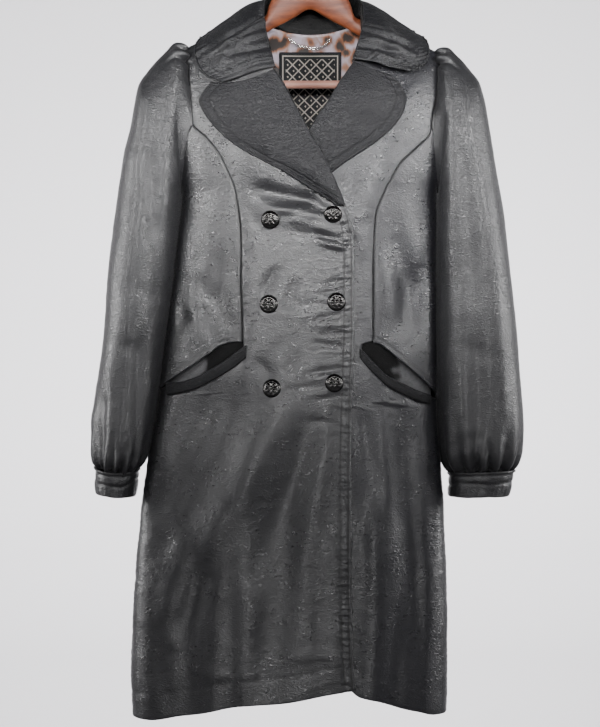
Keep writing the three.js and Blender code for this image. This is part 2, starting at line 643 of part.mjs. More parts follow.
// Closed solid through rings of equal length.
function loft(rings) {
  const count = rings[0].length;
  const positions = [];
  rings.flat().forEach((p) => positions.push(p.x, p.y, p.z));
  const faces = [];
  for (let i = 0; i < rings.length - 1; i += 1) {
    for (let j = 0; j < count; j += 1) {
      const next = (j + 1) % count;
      faces.push(i * count + j, i * count + next, (i + 1) * count + next);
      faces.push(i * count + j, (i + 1) * count + next, (i + 1) * count + j);
    }
  }
  const end = (rings.length - 1) * count;
  for (let j = 1; j < count - 1; j += 1) {
    faces.push(0, j + 1, j);
    faces.push(end, end + j, end + j + 1);
  }
  return surface(positions, faces);
}

const root = new THREE.Group();

const MATERIALS = {
  satin: new THREE.MeshStandardMaterial({ color: 0x35363a, roughness: 0.42, metalness: 0 }),
  lining: new THREE.MeshStandardMaterial({ color: 0xb9b3bd, roughness: 0.6, metalness: 0 }),
  label: new THREE.MeshStandardMaterial({ color: 0x1b1a1d, roughness: 0.6, metalness: 0 }),
  pocket: new THREE.MeshStandardMaterial({ color: 0x232326, roughness: 0.7, metalness: 0 }),
  wood: new THREE.MeshStandardMaterial({ color: 0x9a5a33, roughness: 0.4, metalness: 0 }),
  bar: new THREE.MeshStandardMaterial({ color: 0xa77c6b, roughness: 0.45, metalness: 0 }),
  metal: new THREE.MeshStandardMaterial({ color: 0xa9aaac, roughness: 0.28, metalness: 1 }),
  button: new THREE.MeshStandardMaterial({ color: 0x3a3836, roughness: 0.35, metalness: 0.8 }),
};

function add(name, geometry, material) {
  const mesh = new THREE.Mesh(geometry, MATERIALS[material].clone());
  mesh.name = name;
  root.add(mesh);
  return mesh;
}

// Front panel between a side edge and an inner edge, row by row, with its hem drawn down to a table.
function frontPanel(sideTable, innerTable, rows, hem, cols, lift) {
  const count = rows.length - 1;
  return rows.map((row, i) => {
    const sideAngle = angleAt(read(sideTable, "drop", "x", row.side), row.side);
    const innerAngle = angleAt(read(innerTable, "drop", "x", row.inner), row.inner);
    const line = [];
    for (let j = 0; j <= cols; j += 1) {
      const s = j / cols;
      const angle = mix(sideAngle, innerAngle, s);
      let drop = mix(row.side, row.inner, s);
      const x = bodyPoint(angle, drop, -1, flat).x;
      if (i <= 2) drop = Math.max(drop, read(SHOULDER, "x", "drop", x) + RIDGE_GAP + (i * i + i) * 1.6);
      const pull = Math.pow(i / count, 6);
      drop += (read(hem, "x", "drop", x) - mix(rows[count].side, rows[count].inner, s)) * pull;
      line.push(bodyPoint(angle, drop, -1, lift));
    }
    return line;
  });
}

add(
  "front_right",
  wall(frontPanel(RIGHT_FRONT_SIDE, RIGHT_FRONT_EDGE, FRONT_ROWS, HEM_RIGHT, 11, overLift), -1, CLOTH, false, true),
  "satin",
);

const LEFT_ROWS = FRONT_ROWS.map((row) => ({
  side: row.side + 4 * (1 - step(166, 560, row.side)),
  inner: Math.min(row.inner, 1018),
}));
LEFT_ROWS[LEFT_ROWS.length - 1] = { side: 1062, inner: 1018 };

const leftGrid = frontPanel(LEFT_FRONT_SIDE, LEFT_FRONT_EDGE, LEFT_ROWS, HEM_LEFT, 11, underLift);
add("front_left", wall(leftGrid.map((row) => row.reverse()), -1, CLOTH, false, true), "satin");

// Upper side front: armhole at its top, pocket lip at its bottom; its rows meet those of the front.
const SIDE_DROPS = [365, 388, 412, 440, 470, 503, 540, 584, 629];
const FIRST_SIDE_ROW = 6;

function sideFront(princess, lip, frontRows, seam, cols) {
  const last = SIDE_DROPS.length - 1;
  const rows = frontRows.slice(FIRST_SIDE_ROW, FIRST_SIDE_ROW + SIDE_DROPS.length);
  return rows.map((row, i) => {
    const innerX = read(princess, "drop", "x", row.side) + seam;
    const sideAngle = Math.sign(innerX) * (Math.PI / 2 - SIDE_CLEARANCE);
    const innerAngle = angleAt(innerX, row.side);
    const line = [];
    for (let j = 0; j <= cols; j += 1) {
      const s = j / cols;
      const angle = mix(sideAngle, innerAngle, s);
      let drop = mix(SIDE_DROPS[i], row.side, s);
      const x = bodyPoint(angle, drop, -1, flat).x;
      const pull = Math.pow(i / last, 4);
      drop += (read(lip, "x", "drop", x) - mix(SIDE_DROPS[last], rows[last].side, s)) * pull;
      line.push(bodyPoint(angle, drop, -1, flat));
    }
    return line;
  });
}

add("side_front_right", wall(sideFront(RIGHT_FRONT_SIDE, LIP_RIGHT, FRONT_ROWS, -1, 7), -1), "satin");
const sideLeftGrid = sideFront(LEFT_FRONT_SIDE, LIP_LEFT, LEFT_ROWS, 1, 7);
add("side_front_left", wall(sideLeftGrid.map((row) => row.reverse()), -1), "satin");

// Back: armholes and side seams at the sides, neckline and shoulders at the top.
function backGrid(cols) {
  const total = BACK_ROWS[BACK_ROWS.length - 1];
  return BACK_ROWS.map((fall, i) => {
    const share = fall / total;
    const leftDrop = mix(166, 1066, share);
    const rightDrop = mix(170, 1062, share);
    const edge = (side, drop) => {
      const x = drop < 364 ? read(ARMHOLE, "drop", side, drop) : 400 * (side === "left" ? -1 : 1);
      return angleAt(x, drop);
    };
    const leftAngle = edge("left", leftDrop);
    const rightAngle = edge("right", rightDrop);
    const line = [];
    for (let j = 0; j <= cols; j += 1) {
      const s = j / cols;
      const angle = mix(leftAngle, rightAngle, s);
      const topX = mix(-167, 171.5, s);
      const top = read(BACK_NECK, "x", "drop", topX);
      const hem = mix(1066, 1062, s) - BACK_HEM_RISE * Math.sin(Math.PI * s);
      let drop = mix(top, hem, share);
      if (i <= 2) {
        const x = bodyPoint(angle, drop, 1, flat).x;
        drop = Math.max(drop, read(SHOULDER, "x", "drop", x) + RIDGE_GAP + (i * i + i) * 1.6);
      }
      line.push(bodyPoint(angle, drop, 1, flat));
    }
    return line;
  });
}

add("back", wall(backGrid(18), 1, CLOTH, false, true), "satin");

// Ring of a sleeve or cuff; the angle runs from the outer point round the front to the inner point.
function ringPoint(row, angle) {
  const share = (1 - Math.cos(angle)) / 2;
  const front = Math.sin(angle);
  const depth = Math.sign(front) * Math.pow(Math.abs(front), 0.9) * (front > 0 ? row.front : row.back);
  return new THREE.Vector3(
    mix(row.outX, row.inX, share),
    -depth,
    -(mix(row.outDrop, row.inDrop, share) + row.dip * front),
  );
}

function sleeveGrid(rings, side) {
  const last = rings.length - 1;
  return rings.map((row, i) => {
    const line = [];
    for (let j = 0; j < SLEEVE_AROUND; j += 1) {
      const angle = (j / SLEEVE_AROUND) * Math.PI * 2;
      const p = ringPoint(row, angle);
      const front = Math.sin(angle);
      if (i === 0) {
        const edge = read(ARMHOLE, "drop", side < 0 ? "left" : "right", -p.z);
        p.x = edge + side * SLEEVE_GAP;
        const across = bodyPoint(angleAt(edge, -p.z), -p.z, front > 0 ? -1 : 1, flat);
        p.y = Math.abs(front) < 0.01 ? 0 : across.y;
      } else {
        const fold = foldDepth(SLEEVE_FOLDS, p.x, -p.z) * Math.abs(front) * Math.min(i / 3, 1);
        const gather = i < last - 2 || i === last ? 0 : SLEEVE_GATHER * (j % 2 === 0 ? 1 : -1);
        const lift = Math.sign(front) * (fold - gather * Math.abs(front));
        p.y += lift;
      }
      if (TUCK_ANGLES.includes(j) && i < TUCK_DEPTHS.length) p.z -= TUCK_DEPTHS[i];
      line.push(p);
    }
    return line;
  });
}

add("sleeve_right", wall(sleeveGrid(SLEEVE_RIGHT, -1), -1, CLOTH, true), "satin");
add("sleeve_left", wall(sleeveGrid(SLEEVE_LEFT, 1), 1, CLOTH, true), "satin");

function cuffGrid(rings) {
  return rings.map((row) => {
    const line = [];
    for (let j = 0; j < CUFF_AROUND; j += 1) line.push(ringPoint(row, (j / CUFF_AROUND) * Math.PI * 2));
    return line;
  });
}

add("cuff_right", wall(cuffGrid(CUFF_RIGHT), -1, CLOTH, true), "satin");
add("cuff_left", wall(cuffGrid(CUFF_LEFT), 1, CLOTH, true), "satin");

// Lapels lie on the fronts and roll forward at their inner edge.
function lapelGrid(table, cols, lift) {
  return table.map((row) => {
    const line = [];
    for (let j = 0; j <= cols; j += 1) {
      const s = j / cols;
      const x = mix(row.rollX, row.outX, s);
      const drop = mix(row.rollDrop, row.outDrop, s) + row.sag * 4 * s * (1 - s);
      const roll = row.roll * Math.sin(Math.PI * Math.min(s * 1.15, 1));
      line.push(frontAt(x, drop, (px) => lift(px) + LAYER_STEP + roll));
    }
    return line;
  });
}

add("lapel_right", wall(lapelGrid(LAPEL_RIGHT, 7, overLift), 1), "satin");
add("lapel_left", wall(lapelGrid(LAPEL_LEFT, 6, underLift), -1), "satin");

// Collar leaf: a cubic curve over the four points of each section.
function collarGrid(cols) {
  return COLLAR.map((row) => {
    const curve = new THREE.CatmullRomCurve3([
      new THREE.Vector3(row.fx, row.fy, -row.fd),
      new THREE.Vector3(row.ax, row.ay, -row.ad),
      new THREE.Vector3(row.bx, row.by, -row.bd),
      new THREE.Vector3(row.ex, row.ey, -row.ed),
    ]);
    return curve.getPoints(cols);
  });
}

add("collar", wall(collarGrid(6), 1), "satin");

function standGrid() {
  const drops = [0, 0.5, 1];
  return STAND_FOOT.map((foot, i) => {
    const fold = COLLAR[i];
    const inX = fold.fx > 5 ? -1.2 : 1.2;
    const top = new THREE.Vector3(fold.fx + inX * (Math.abs(fold.fx - 5) > 10 ? 1 : 0), fold.fy, -(fold.fd + 2.6));
    if (fold.fy > 10) top.y -= 1;
    const low = new THREE.Vector3(foot.x, foot.y, -foot.drop);
    return drops.map((t) => new THREE.Vector3().lerpVectors(low, top, t));
  });
}

add("collar_stand", wall(standGrid(), 1), "satin");

// A strip on the front from a table of sections.
function strip(table, rows, lift) {
  return table.map((row) => {
    const line = [];
    for (let j = 0; j <= rows; j += 1) {
      line.push(frontAt(row.x, mix(row.top, row.bottom, j / rows), lift));
    }
    return line;
  });
}

const weltLift = (base) => (x) => base(x) + CLOTH + 2 * SEAM_GAP;
const backingLift = (base, from, gap) => (x) => base(x) - CLOTH - gap - Math.max(Math.abs(x) - from, 0) * BACKING_SLOPE;
add("pocket_welt_right", wall(strip(WELT_RIGHT, 2, weltLift(overLift)), 1), "satin");
add("pocket_welt_left", wall(strip(WELT_LEFT, 2, weltLift(underLift)), 1), "satin");
add("pocket_backing_right", wall(strip(BACKING_RIGHT, 3, backingLift(flat, 110, 0.4)), 1), "pocket");
add("pocket_backing_left", wall(strip(BACKING_LEFT, 3, backingLift(underLift, 90, 0.9)), 1), "pocket");

// Lining and label show inside the neck; both face forward.
function innerPanel(box, cols, rows, ahead) {
  const grid = [];
  for (let i = 0; i <= rows; i += 1) {
    const line = [];
    for (let j = 0; j <= cols; j += 1) {
      const s = j / cols;
      const x = mix(box.left, box.right, s);
      const top = box.top - (box.rise || 0) * Math.pow(Math.abs(2 * s - 1), 2);
      const drop = mix(top, box.bottom, i / rows);
      const back = bodyPoint(angleAt(x, drop), drop, 1, flat);
      line.push(new THREE.Vector3(x, back.y - ahead, -drop));
    }
    grid.push(line);
  }
  return grid;
}

add("lining_back", wall(innerPanel(LINING, 8, 8, LINING.behind), -1, 1.2), "lining");
add("label", wall(innerPanel(LABEL, 3, 4, LINING.behind + LABEL.ahead), -1, LABEL.wall), "label");

const chainPoints = CHAIN.map((p) => {
  const back = bodyPoint(angleAt(p.x, p.drop), p.drop, 1, flat);
  return new THREE.Vector3(p.x, back.y - LINING.behind - CHAIN_RADIUS - 2 * SEAT_GAP, -p.drop);
});
const chainShape = new THREE.Shape().absarc(0, 0, CHAIN_RADIUS, 0, Math.PI * 2);
const chainPath = new THREE.CatmullRomCurve3(chainPoints);
const chainOptions = { steps: 10, curveSegments: 4, bevelEnabled: false, extrudePath: chainPath };
add("hang_chain", new THREE.ExtrudeGeometry(chainShape, chainOptions), "metal");

// Buttons: domed caps turned about their axis and set square on the cloth.
const buttonProfile = [
  new THREE.Vector2(0, 0),
  new THREE.Vector2(BUTTON_RADIUS - 1, 0),
  new THREE.Vector2(BUTTON_RADIUS, 1.6),
  new THREE.Vector2(BUTTON_RADIUS * 0.75, BUTTON_HEIGHT * 0.72),
  new THREE.Vector2(BUTTON_RADIUS * 0.4, BUTTON_HEIGHT * 0.95),
  new THREE.Vector2(0, BUTTON_HEIGHT),
];
for (const row of BUTTONS) {
  const cap = new THREE.LatheGeometry(buttonProfile, 14);
  const seat = frontAt(row.x, row.drop, (x) => overLift(x) + row.gap);
  const side = frontAt(row.x + 10, row.drop, overLift).sub(frontAt(row.x - 10, row.drop, overLift));
  const down = frontAt(row.x, row.drop + 10, overLift).sub(frontAt(row.x, row.drop - 10, overLift));
  const out = new THREE.Vector3().crossVectors(down, side).normalize();
  const turn = new THREE.Quaternion().setFromUnitVectors(new THREE.Vector3(0, 1, 0), out);
  cap.applyQuaternion(turn);
  cap.translate(seat.x, seat.y, seat.z);
  add(row.name, cap, "button");
}

// Hanger: wooden arms, a bar between their ends, and a wire hook.
const WOOD_AROUND = 12;
const woodRings = [];
for (const row of [...WOOD.slice(1).reverse().map((r) => ({ ...r, x: -r.x })), ...WOOD]) {
  const ring = [];
  const mid = (row.top + row.bottom) / 2;
  const tall = (row.bottom - row.top) / 2;
  for (let j = 0; j < WOOD_AROUND; j += 1) {
    const angle = (j / WOOD_AROUND) * Math.PI * 2;
    ring.push(new THREE.Vector3(row.x, row.half * Math.cos(angle), -mid + tall * Math.sin(angle)));
  }
  woodRings.push(ring);
}
add("hanger_arms", loft(woodRings), "wood");

const bar = new THREE.CylinderGeometry(BAR_RADIUS, BAR_RADIUS, 2 * BAR_HALF_LENGTH, 16);
bar.rotateZ(Math.PI / 2);
bar.translate(0, 0, -BAR_DROP);
add("trouser_bar", bar, "bar");

const hookCentre = -(HOOK_BEND_RADIUS - HOOK_WIRE_RADIUS);
const hookPoints = [new THREE.Vector3(0, 0, -(WOOD_TOP_DROP - 0.4)), new THREE.Vector3(0, 0, -52)];
for (let degrees = -62; degrees <= 200; degrees += 18) {
  const angle = (degrees * Math.PI) / 180;
  hookPoints.push(
    new THREE.Vector3(HOOK_BEND_RADIUS * Math.cos(angle), 0, hookCentre + HOOK_BEND_RADIUS * Math.sin(angle)),
  );
}
const hookShape = new THREE.Shape().absarc(0, 0, HOOK_WIRE_RADIUS, 0, Math.PI * 2);
const hookPath = new THREE.CatmullRomCurve3(hookPoints);
const hookOptions = { steps: 30, curveSegments: 4, bevelEnabled: false, extrudePath: hookPath };
add("hook", new THREE.ExtrudeGeometry(hookShape, hookOptions), "metal");

export default root;
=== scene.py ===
import math

import bpy
import numpy as np
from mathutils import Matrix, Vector


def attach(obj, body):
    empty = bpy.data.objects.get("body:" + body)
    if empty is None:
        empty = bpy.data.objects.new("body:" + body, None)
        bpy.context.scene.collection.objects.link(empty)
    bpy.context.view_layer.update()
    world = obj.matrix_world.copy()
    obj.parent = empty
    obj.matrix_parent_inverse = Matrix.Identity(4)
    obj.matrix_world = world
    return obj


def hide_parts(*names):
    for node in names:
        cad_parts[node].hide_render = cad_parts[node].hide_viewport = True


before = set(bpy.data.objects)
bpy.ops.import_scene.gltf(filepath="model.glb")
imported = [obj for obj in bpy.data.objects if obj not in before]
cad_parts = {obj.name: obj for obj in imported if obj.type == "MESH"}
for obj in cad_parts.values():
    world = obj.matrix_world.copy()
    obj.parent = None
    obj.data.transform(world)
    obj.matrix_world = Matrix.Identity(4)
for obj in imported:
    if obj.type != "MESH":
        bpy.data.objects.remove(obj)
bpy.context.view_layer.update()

# Lengths are in millimetres up to mesh_object: x to the photo's right, drop down from the hook's seat.
MM = 0.001
LENS_POWER = 2.4
SHOULDER_ROUND = 130
ROUND_POWER = 0.6
SIDE_CLEARANCE = 0.0015
SEAM_GAP = 0.2
RIDGE_GAP = 0.02
LAYER_STEP = 3
OVER_STEP = 4
BACK_LENGTH = 895
SHOULDER_X = (-167, 171.5)
SHOULDER_DROP = (166, 170)
SIDE_HEM_DROP = (1066, 1062)
LEFT_HEM_DROP = 1018
ARMHOLE_FOOT = 364
RIDGE_ROWS = 2.2
BACK_HEM_RISE = 31
BUTTON_RADIUS = 12.5
BUTTON_HEIGHT = 6.5
HOOK_WIRE_RADIUS = 2
HOOK_BEND_RADIUS = 23
BAR_RADIUS = 5.5
BAR_HALF_LENGTH = 173
BAR_DROP = 214
STITCH_LINES = (2.4, 12.5)
ROLL_END = 384
NO_STITCHING = 2000
FIRST_SIDE_ROW = 6
LAST_SIDE_ROW = 14
LINK_PITCH = 2.9
LINK_RADIUS = 1.5
LINK_WIRE = 0.52
LINK_STRETCH = 1.35
LINK_AROUND = 20
LINK_SECTION = 8
COARSE_CREASES = 128
FINE_CREASES = 270
CREASE_HEIGHT = 0.0017
WEAVE_SCALE = 2600
WEAVE_HEIGHT = 0.0001
LABEL_CELLS = 62
LABEL_BORDER = 0.005
SENSOR_WIDTH = 36
CAMERA_AT = (-0.0135, -0.03, -0.592)
CAMERA_DISTANCE = 3.0
FIELD_HEIGHT = 0.976
FLOOR = -1.75
LATTICE_SIZE = 32
LINING = {"left": -66, "right": 68, "bottom": 335, "top": 143, "rise": 14, "behind": 5}
LABEL = {"left": -42, "right": 43, "top": 166, "bottom": 296, "rise": 0, "ahead": 2.4}
SIDE_DROPS = np.array([365, 388, 412, 440, 470, 503, 540, 584, 629], float)
BUTTONS = [
    ("button_1", -53, 401, 0.0),
    ("button_2", 30, 394, 0.35),
    ("button_3", -55, 513, 0.0),
    ("button_4", 35, 510, 0.0),
    ("button_5", -51, 625, 0.0),
    ("button_6", 32, 618, 0.0),
]


def table(names, rows):
    """A table of numbers as one array for each named column."""
    values = np.array([[float(v) for v in line.split()] for line in rows.strip().splitlines()])
    return {name: values[:, i].copy() for i, name in enumerate(names.split())}


BODY = table("drop left right front back", """
90 -195 199 50 46
166 -195 199 52 46
236 -196 200 56 46
290 -190 190 58 45
335 -180 179 58 44
364 -173 172 57 43
420 -179 171.5 56 41
479 -185 171.5 55 40
560 -197 171.5 56 40
641 -206.5 172 58 42
717 -219 177 60 45
790 -228 181 62 48
871 -236 184 65 51
945 -240 186 67 54
1000 -242 186 68 56
1080 -240 185 69 58
""")

SHOULDER = table("x drop", """
-210 187.5
-167 166
-71 118
-35 103
0 98
35 104
71 119.5
171.5 170
214.5 191.5
""")

ARMHOLE = table("drop left right", """
160 -167 171.5
170 -166.5 171.5
196 -164 172
236 -160 169.5
270 -158 163.5
297 -163 164
335 -169 168
364 -173 172
""")

RIGHT_FRONT_SIDE = table("drop x", """
160 -167
196 -164
236 -160
270 -157.5
290 -138.5
313 -120.5
333 -110.5
358 -100.5
385 -95.5
412 -92.5
479 -91.5
560 -89.5
571 -89
587 -107
600 -127
614 -154
623 -191
632 -270
1100 -300
""")

RIGHT_FRONT_EDGE = table("drop x", """
118 -71
139 -71
156 -69
172 -65
184 -60
198 -50
212 -40
236 -27
263 -13
283 -3
304 8
324 19
344 30
367 40
385 47
418 55
452 57
560 57
614 55
722 53
884 53
979 55
1023 59
""")

LEFT_FRONT_EDGE = table("drop x", """
119 71
139 72
156 72
168 69
178 65
186 60
206 47
220 38
240 27
260 13
281 3
320 -24
360 -50
400 -68
440 -75
1100 -75
""")

LEFT_FRONT_SIDE = table("drop x", """
160 171.5
209 171.5
231 169.5
261 163
282 161.5
304 141.5
324 120.5
347 107.5
371 95.5
391 88.5
425 85.5
479 84.5
562 84.5
567 70
574 69
590 81
605 95
616 112
622 127
630 143
637 162
645 240
1100 300
""")

FRONT_ROWS = table("side inner", """
166 119.5
170 123
179 132
196 152
220 178
245 207
272 236
302 266
335 300
372 340
412 382
455 425
500 470
538 512
560 542
567 556
575 570
589 588
603 608
616 628
628 646
642 664
690 710
750 762
815 820
880 880
945 940
1005 985
1066 1023
""")

HEM_RIGHT = table("x drop", """
-250 1066
-216 1068
-175 1061
-148 1057
-94 1046
-40 1042
27 1030
59 1025
""")

HEM_LEFT = table("x drop", """
-75 1018
45 1020
65 1034
94 1041
121 1050
148 1057
169 1062
190 1062
""")

LIP_RIGHT = table("x drop", """
-210 631
-192 616
-162 597
-135 578
-119 566
-101 562
-85 563
""")

LIP_LEFT = table("x drop", """
85 563
90 564
103 572
121 587
139 601
154 614
169 629
175 635
""")

WELT_RIGHT = table("x top bottom", """
-193 619 634
-176 617.5 631
-155 612 626
-128 598 613
-108 585 601
-96 576 592
-86 569 584
""")

WELT_LEFT = table("x top bottom", """
66 573 584
74 580 594
90 597 610
103 609 621
123 619 632
144 629 641
162 635 647
""")

BACKING_RIGHT = table("x top bottom", """
-192 608 628
-180 594 624
-160 580 624
-128 560 609
-104 550 592
-84 548 580
""")

BACKING_LEFT = table("x top bottom", """
62 552 582
82 552 600
103 558 618
130 578 629
149 595 633
163 614 640
""")

LAPEL_RIGHT = table("rollX rollDrop outX outDrop sag roll", """
-50 201 -131 216 8 5
-44 209 -147 240 5 5
-33 227 -140 257 2 5
-20 251 -128 274 0 5
-7 276 -112 290 0 5
4 297 -94 304 0 5
14 315 -67 320 0 5
22 330 -40 333 0 4.5
30 345 -13 350 0 4
39 364 13 366 0 3
46 382 36 381 0 2
""")

LAPEL_LEFT = table("rollX rollDrop outX outDrop sag roll", """
59 190 108 206 2 5
52 200 121 221 1 5
45 210 127 237 0 5
36 224 125 250 0 5
27 240 117 266 0 4
16 256 104 281 0 2.5
5 273 84 298 0 1.2
-4 287 62 312 0 0.4
-12 299 44 324 0 0
-18 309 27 337 0 0
""")

COLLAR = table("fx fy fd ax ay ad bx by bd ex ey ed", """
-49 -55 197 -72 -57 202 -96 -52 210 -118 -47 216
-51 -52 186 -78 -55 189 -110 -45 195 -140 -35 203
-54 -48 174 -82 -51 173 -118 -37 177 -151 -25 184
-57 -41 160 -86 -43 157 -122 -29 160 -153 -18 168
-61 -30 143 -90 -31 139 -122 -19 146 -152 -9 159
-63 -15 122 -90 -13 119 -120 -7 135 -149 -2 154
-61 2 99 -86 4 106 -115 6 127 -143 8 149
-48 20 94 -69 25 101 -92 26 126 -111 26 157
-25 31 92 -37 41 99 -50 45 133 -57 42 169
5 35 91 5 45 98 5 49 135 5 47 173
33 31 92 46 41 99 59 45 133 66 42 169
56 20 94 78 25 101 101 26 126 120 26 157
71 2 100 93 4 108 120 6 127 147 8 149
73 -14 118 96 -13 121 126 -7 136 153 -2 154
73 -27 136 98 -30 137 128 -19 146 156 -9 159
69 -38 152 97 -42 151 130 -29 158 158 -18 168
65 -44 164 93 -50 164 126 -38 172 157 -27 180
62 -48 175 90 -54 177 120 -45 185 150 -36 192
59 -51 186 83 -56 190 108 -51 197 134 -46 202
""")

STAND_FOOT = table("x y drop", """
-45.5 -46 198
-51 -42 190
-57 -38 181
-63 -35 170
-67 -26 154
-68.5 -14 136
-68 3 118
-55 18 126
-31 27 139
5 30 144.5
39 27 140
61 18 127
68.5 3 119.5
69.5 -14 136
69.5 -25 150
67 -33 163
64 -38 173
60.5 -43 181
57.5 -47 188
""")

BACK_NECK = table("x drop", """
-167 166
-71 118.5
-57 129
-33 142
5 147.5
41 143
63 130
71 120
171.5 170
""")

SLEEVE_RIGHT = table("outX outDrop inX inDrop front back dip", """
-167 166 -173.5 363 36 32 0
-181 161 -175.5 366 46 42 0
-201 175.5 -175 370 53 48 0
-220 197 -175 375 57 51 0
-232 215 -175.6 381 59 52 0
-238 243 -176.6 390 60 53 0
-243 274 -177.8 401 60 53 0
-251 306 -179.5 417 60 53 0
-259 358 -182.1 443 59 52 0
-267 414 -185.3 474 58 51 0
-274 472 -191 514 57 50 0
-278 533 -197.9 561 56 49 1
-284 587 -203.4 608 55 48 2
-290 632 -208.6 649 54 47 3
-295.5 672 -214 682 53 46 5
-295.5 705 -218.8 710 50 43 6
-293.5 722 -225 725 45 38 7
-290.5 729.5 -233 732 38 33 7
""")

SLEEVE_LEFT = table("outX outDrop inX inDrop front back dip", """
171.5 170 172.5 363 36 32 0
185 168 174.5 366 46 42 0
201 178 173.6 370 53 48 0
217 196 172.8 375 57 51 0
229 212 172.6 381 59 52 0
237 240 172.6 391 60 53 0
242 268 172.5 404 60 53 0
248 304 172.4 424 60 53 0
256 352 172.4 452 59 52 0
264 404 172.4 486 58 51 0
271 462 172.4 526 57 50 0
278 520 172.4 566 56 49 0
283 576 172.6 608 55 48 0
287 630 173.4 650 54 47 0
289 675 176 690 53 46 0
287 708 177.8 715 50 43 0
283 724 181.5 730 45 38 0
277 735 187 738.5 38 33 0
""")

CUFF_RIGHT = table("outX outDrop inX inDrop front back dip", """
-290.5 730 -233 732.5 38 33 7
-290.5 750 -235 752 37 32 5
-290 767 -237.5 769 36 31 2
""")

CUFF_LEFT = table("outX outDrop inX inDrop front back dip", """
277 735.5 187 739 38 33 0
273 753 186.5 755 37 32 2
269 769 186.5 769 36 31 2
""")

FRONT_FOLDS = table("x0 d0 x1 d1 width depth", """
-119 455 -113 560 16 5
118 440 150 575 17 6
-140 640 -212 790 20 8
-67 668 -135 857 26 -7
122 660 140 930 20 8
-20 700 -48 1000 24 5
-150 860 -165 1050 22 6
90 760 84 1040 18 -5
""")

BACK_FOLDS = table("x0 d0 x1 d1 width depth", """
-120 480 -150 1050 24 8
-40 640 -55 1060 26 7
45 560 50 1050 24 8
120 620 130 1050 22 7
-85 600 -105 1060 22 -5
""")

SLEEVE_FOLDS = table("x0 d0 x1 d1 width depth", """
-212 315 -208 420 12 6
-228 560 -228 690 12 6
-282 640 -280 700 10 4
-236 400 -246 560 18 -5
205 320 215 480 14 6
240 380 252 600 16 -5
222 560 226 690 13 5
""")

WOOD = table("x top bottom half", """
0 61 112 7
20 64 122 7
36 72 131 7
50 95 138 6.5
56 108 142 6
63 123.5 146 6
90 132.5 160 6
130 152.5 181 6
166 171 200 6
172 174 204 6
178 177.5 222 6
199 190 224 6
206 198 218 4.5
""")

CHAIN = table("x drop", """
-27 149
-15 157
8 161
20 157
27 149
""")

# Smaller creases: a line, its half width, and its depth (a ridge is negative).
FRONT_CREASES = table("x0 d0 x1 d1 width depth", """
-132 500 -108 556 20 6.0
140 476 116 552 20 4.2
-150 520 -160 560 14 -2.5
-170 470 -176 540 12 3.0
-205 560 -240 640 14 3.0
-100 280 -60 330 22 -3.0
60 340 20 372 16 2.5
110 300 90 380 18 -1.2
-60 392 20 380 8 -2.2
-84 640 -206 850 26 8.0
-30 660 -120 820 20 -5.0
66 650 92 790 18 6.5
-66 362 -8 374 10 5.0
-8 374 20 386 8 4.0
-58 384 10 396 6 -2.0
11 420 47 430 5 2.1
12 429 46 439 4 -1.2
16 439 43 446 5 1.9
20 452 46 456 4 1.1
20 486 47 481 4 1.6
16 499 45 494 4 1.4
20 507 46 505 4 -1
10 532 42 527 5 1.9
14 541 45 540 4 -1.1
16 552 46 552 4 1
8 566 45 571 6 2.2
14 580 46 584 5 1.6
6 604 44 599 6 1.9
12 611 45 608 4 -1
10 640 44 633 5 1.6
0 668 44 675 6 1.6
12 690 45 688 5 1.1
-48 470 -60 492 7 2.0
-20 486 -30 508 8 2.2
-70 590 -52 608 7 1.8
-30 600 -18 580 7 1.8
-20 402 20 412 6 -1.6
-24 418 22 424 5 1.3
44 410 56 426 6 1.6
-40 404 12 396 7 -1.4
-42 516 20 512 6 1.1
-40 526 22 530 7 -0.9
-38 628 18 622 6 1.0
-70 405 -92 372 8 1.0
-70 512 -92 540 8 0.9
-66 640 -84 690 12 1.4
-150 440 -138 520 12 2.0
-170 520 -150 590 10 1.8
-100 590 -120 640 10 1.2
-30 560 -60 604 12 1.2
60 440 78 540 10 1.2
100 470 112 540 9 -1.4
150 460 160 560 9 2.0
-196 700 -170 860 14 -2.0
-96 780 -180 960 18 4.0
0 700 -70 860 18 4.0
20 700 -10 860 16 -3.0
40 640 30 720 9 1.2
-210 900 -190 1050 14 2.0
-120 960 -130 1060 12 -1.6
-60 900 -70 1046 14 1.6
10 880 14 1030 12 1.5
100 650 104 800 10 -1.8
168 660 164 840 9 2.2
70 680 74 900 9 1.8
118 900 112 1046 11 1.8
156 880 158 1056 10 -1.6
-186 966 -150 976 9 -1.2
-150 1000 -110 1010 8 -1.0
-20 982 30 978 9 -1.2
""")

BACK_CREASES = table("x0 d0 x1 d1 width depth", """
-90 220 -60 330 16 2.0
80 220 60 330 16 2.0
-140 300 -120 420 12 1.8
130 300 118 420 12 1.8
-10 260 -6 420 18 -1.6
-60 440 -20 470 12 1.2
60 450 20 480 12 1.2
-190 700 -200 1000 14 2.2
90 700 96 1040 14 -2.0
0 700 2 1040 16 2.0
160 700 164 1040 10 2.0
-130 900 -128 1050 12 -1.6
""")

SLEEVE_CREASES = table("x0 d0 x1 d1 width depth", """
-226 232 -236 330 11 -2.2
-206 250 -214 330 9 2.4
-196 420 -206 520 8 2.0
-262 440 -272 560 10 -2.0
-250 560 -262 680 9 2.2
-214 600 -222 690 8 -1.8
-270 600 -278 690 7 -1.8
-242 360 -226 380 8 1.4
-252 480 -212 500 9 1.4
-270 560 -226 580 9 1.2
206 220 214 320 10 -2.4
226 240 238 340 9 2.0
192 380 196 500 9 2.4
232 430 240 560 9 1.8
262 440 270 560 8 -1.8
246 560 254 690 8 2.4
268 600 272 700 8 2.0
202 600 206 700 8 -2.2
196 700 224 690 7 1.4
210 500 252 480 9 1.4
200 570 262 590 9 1.2
""")

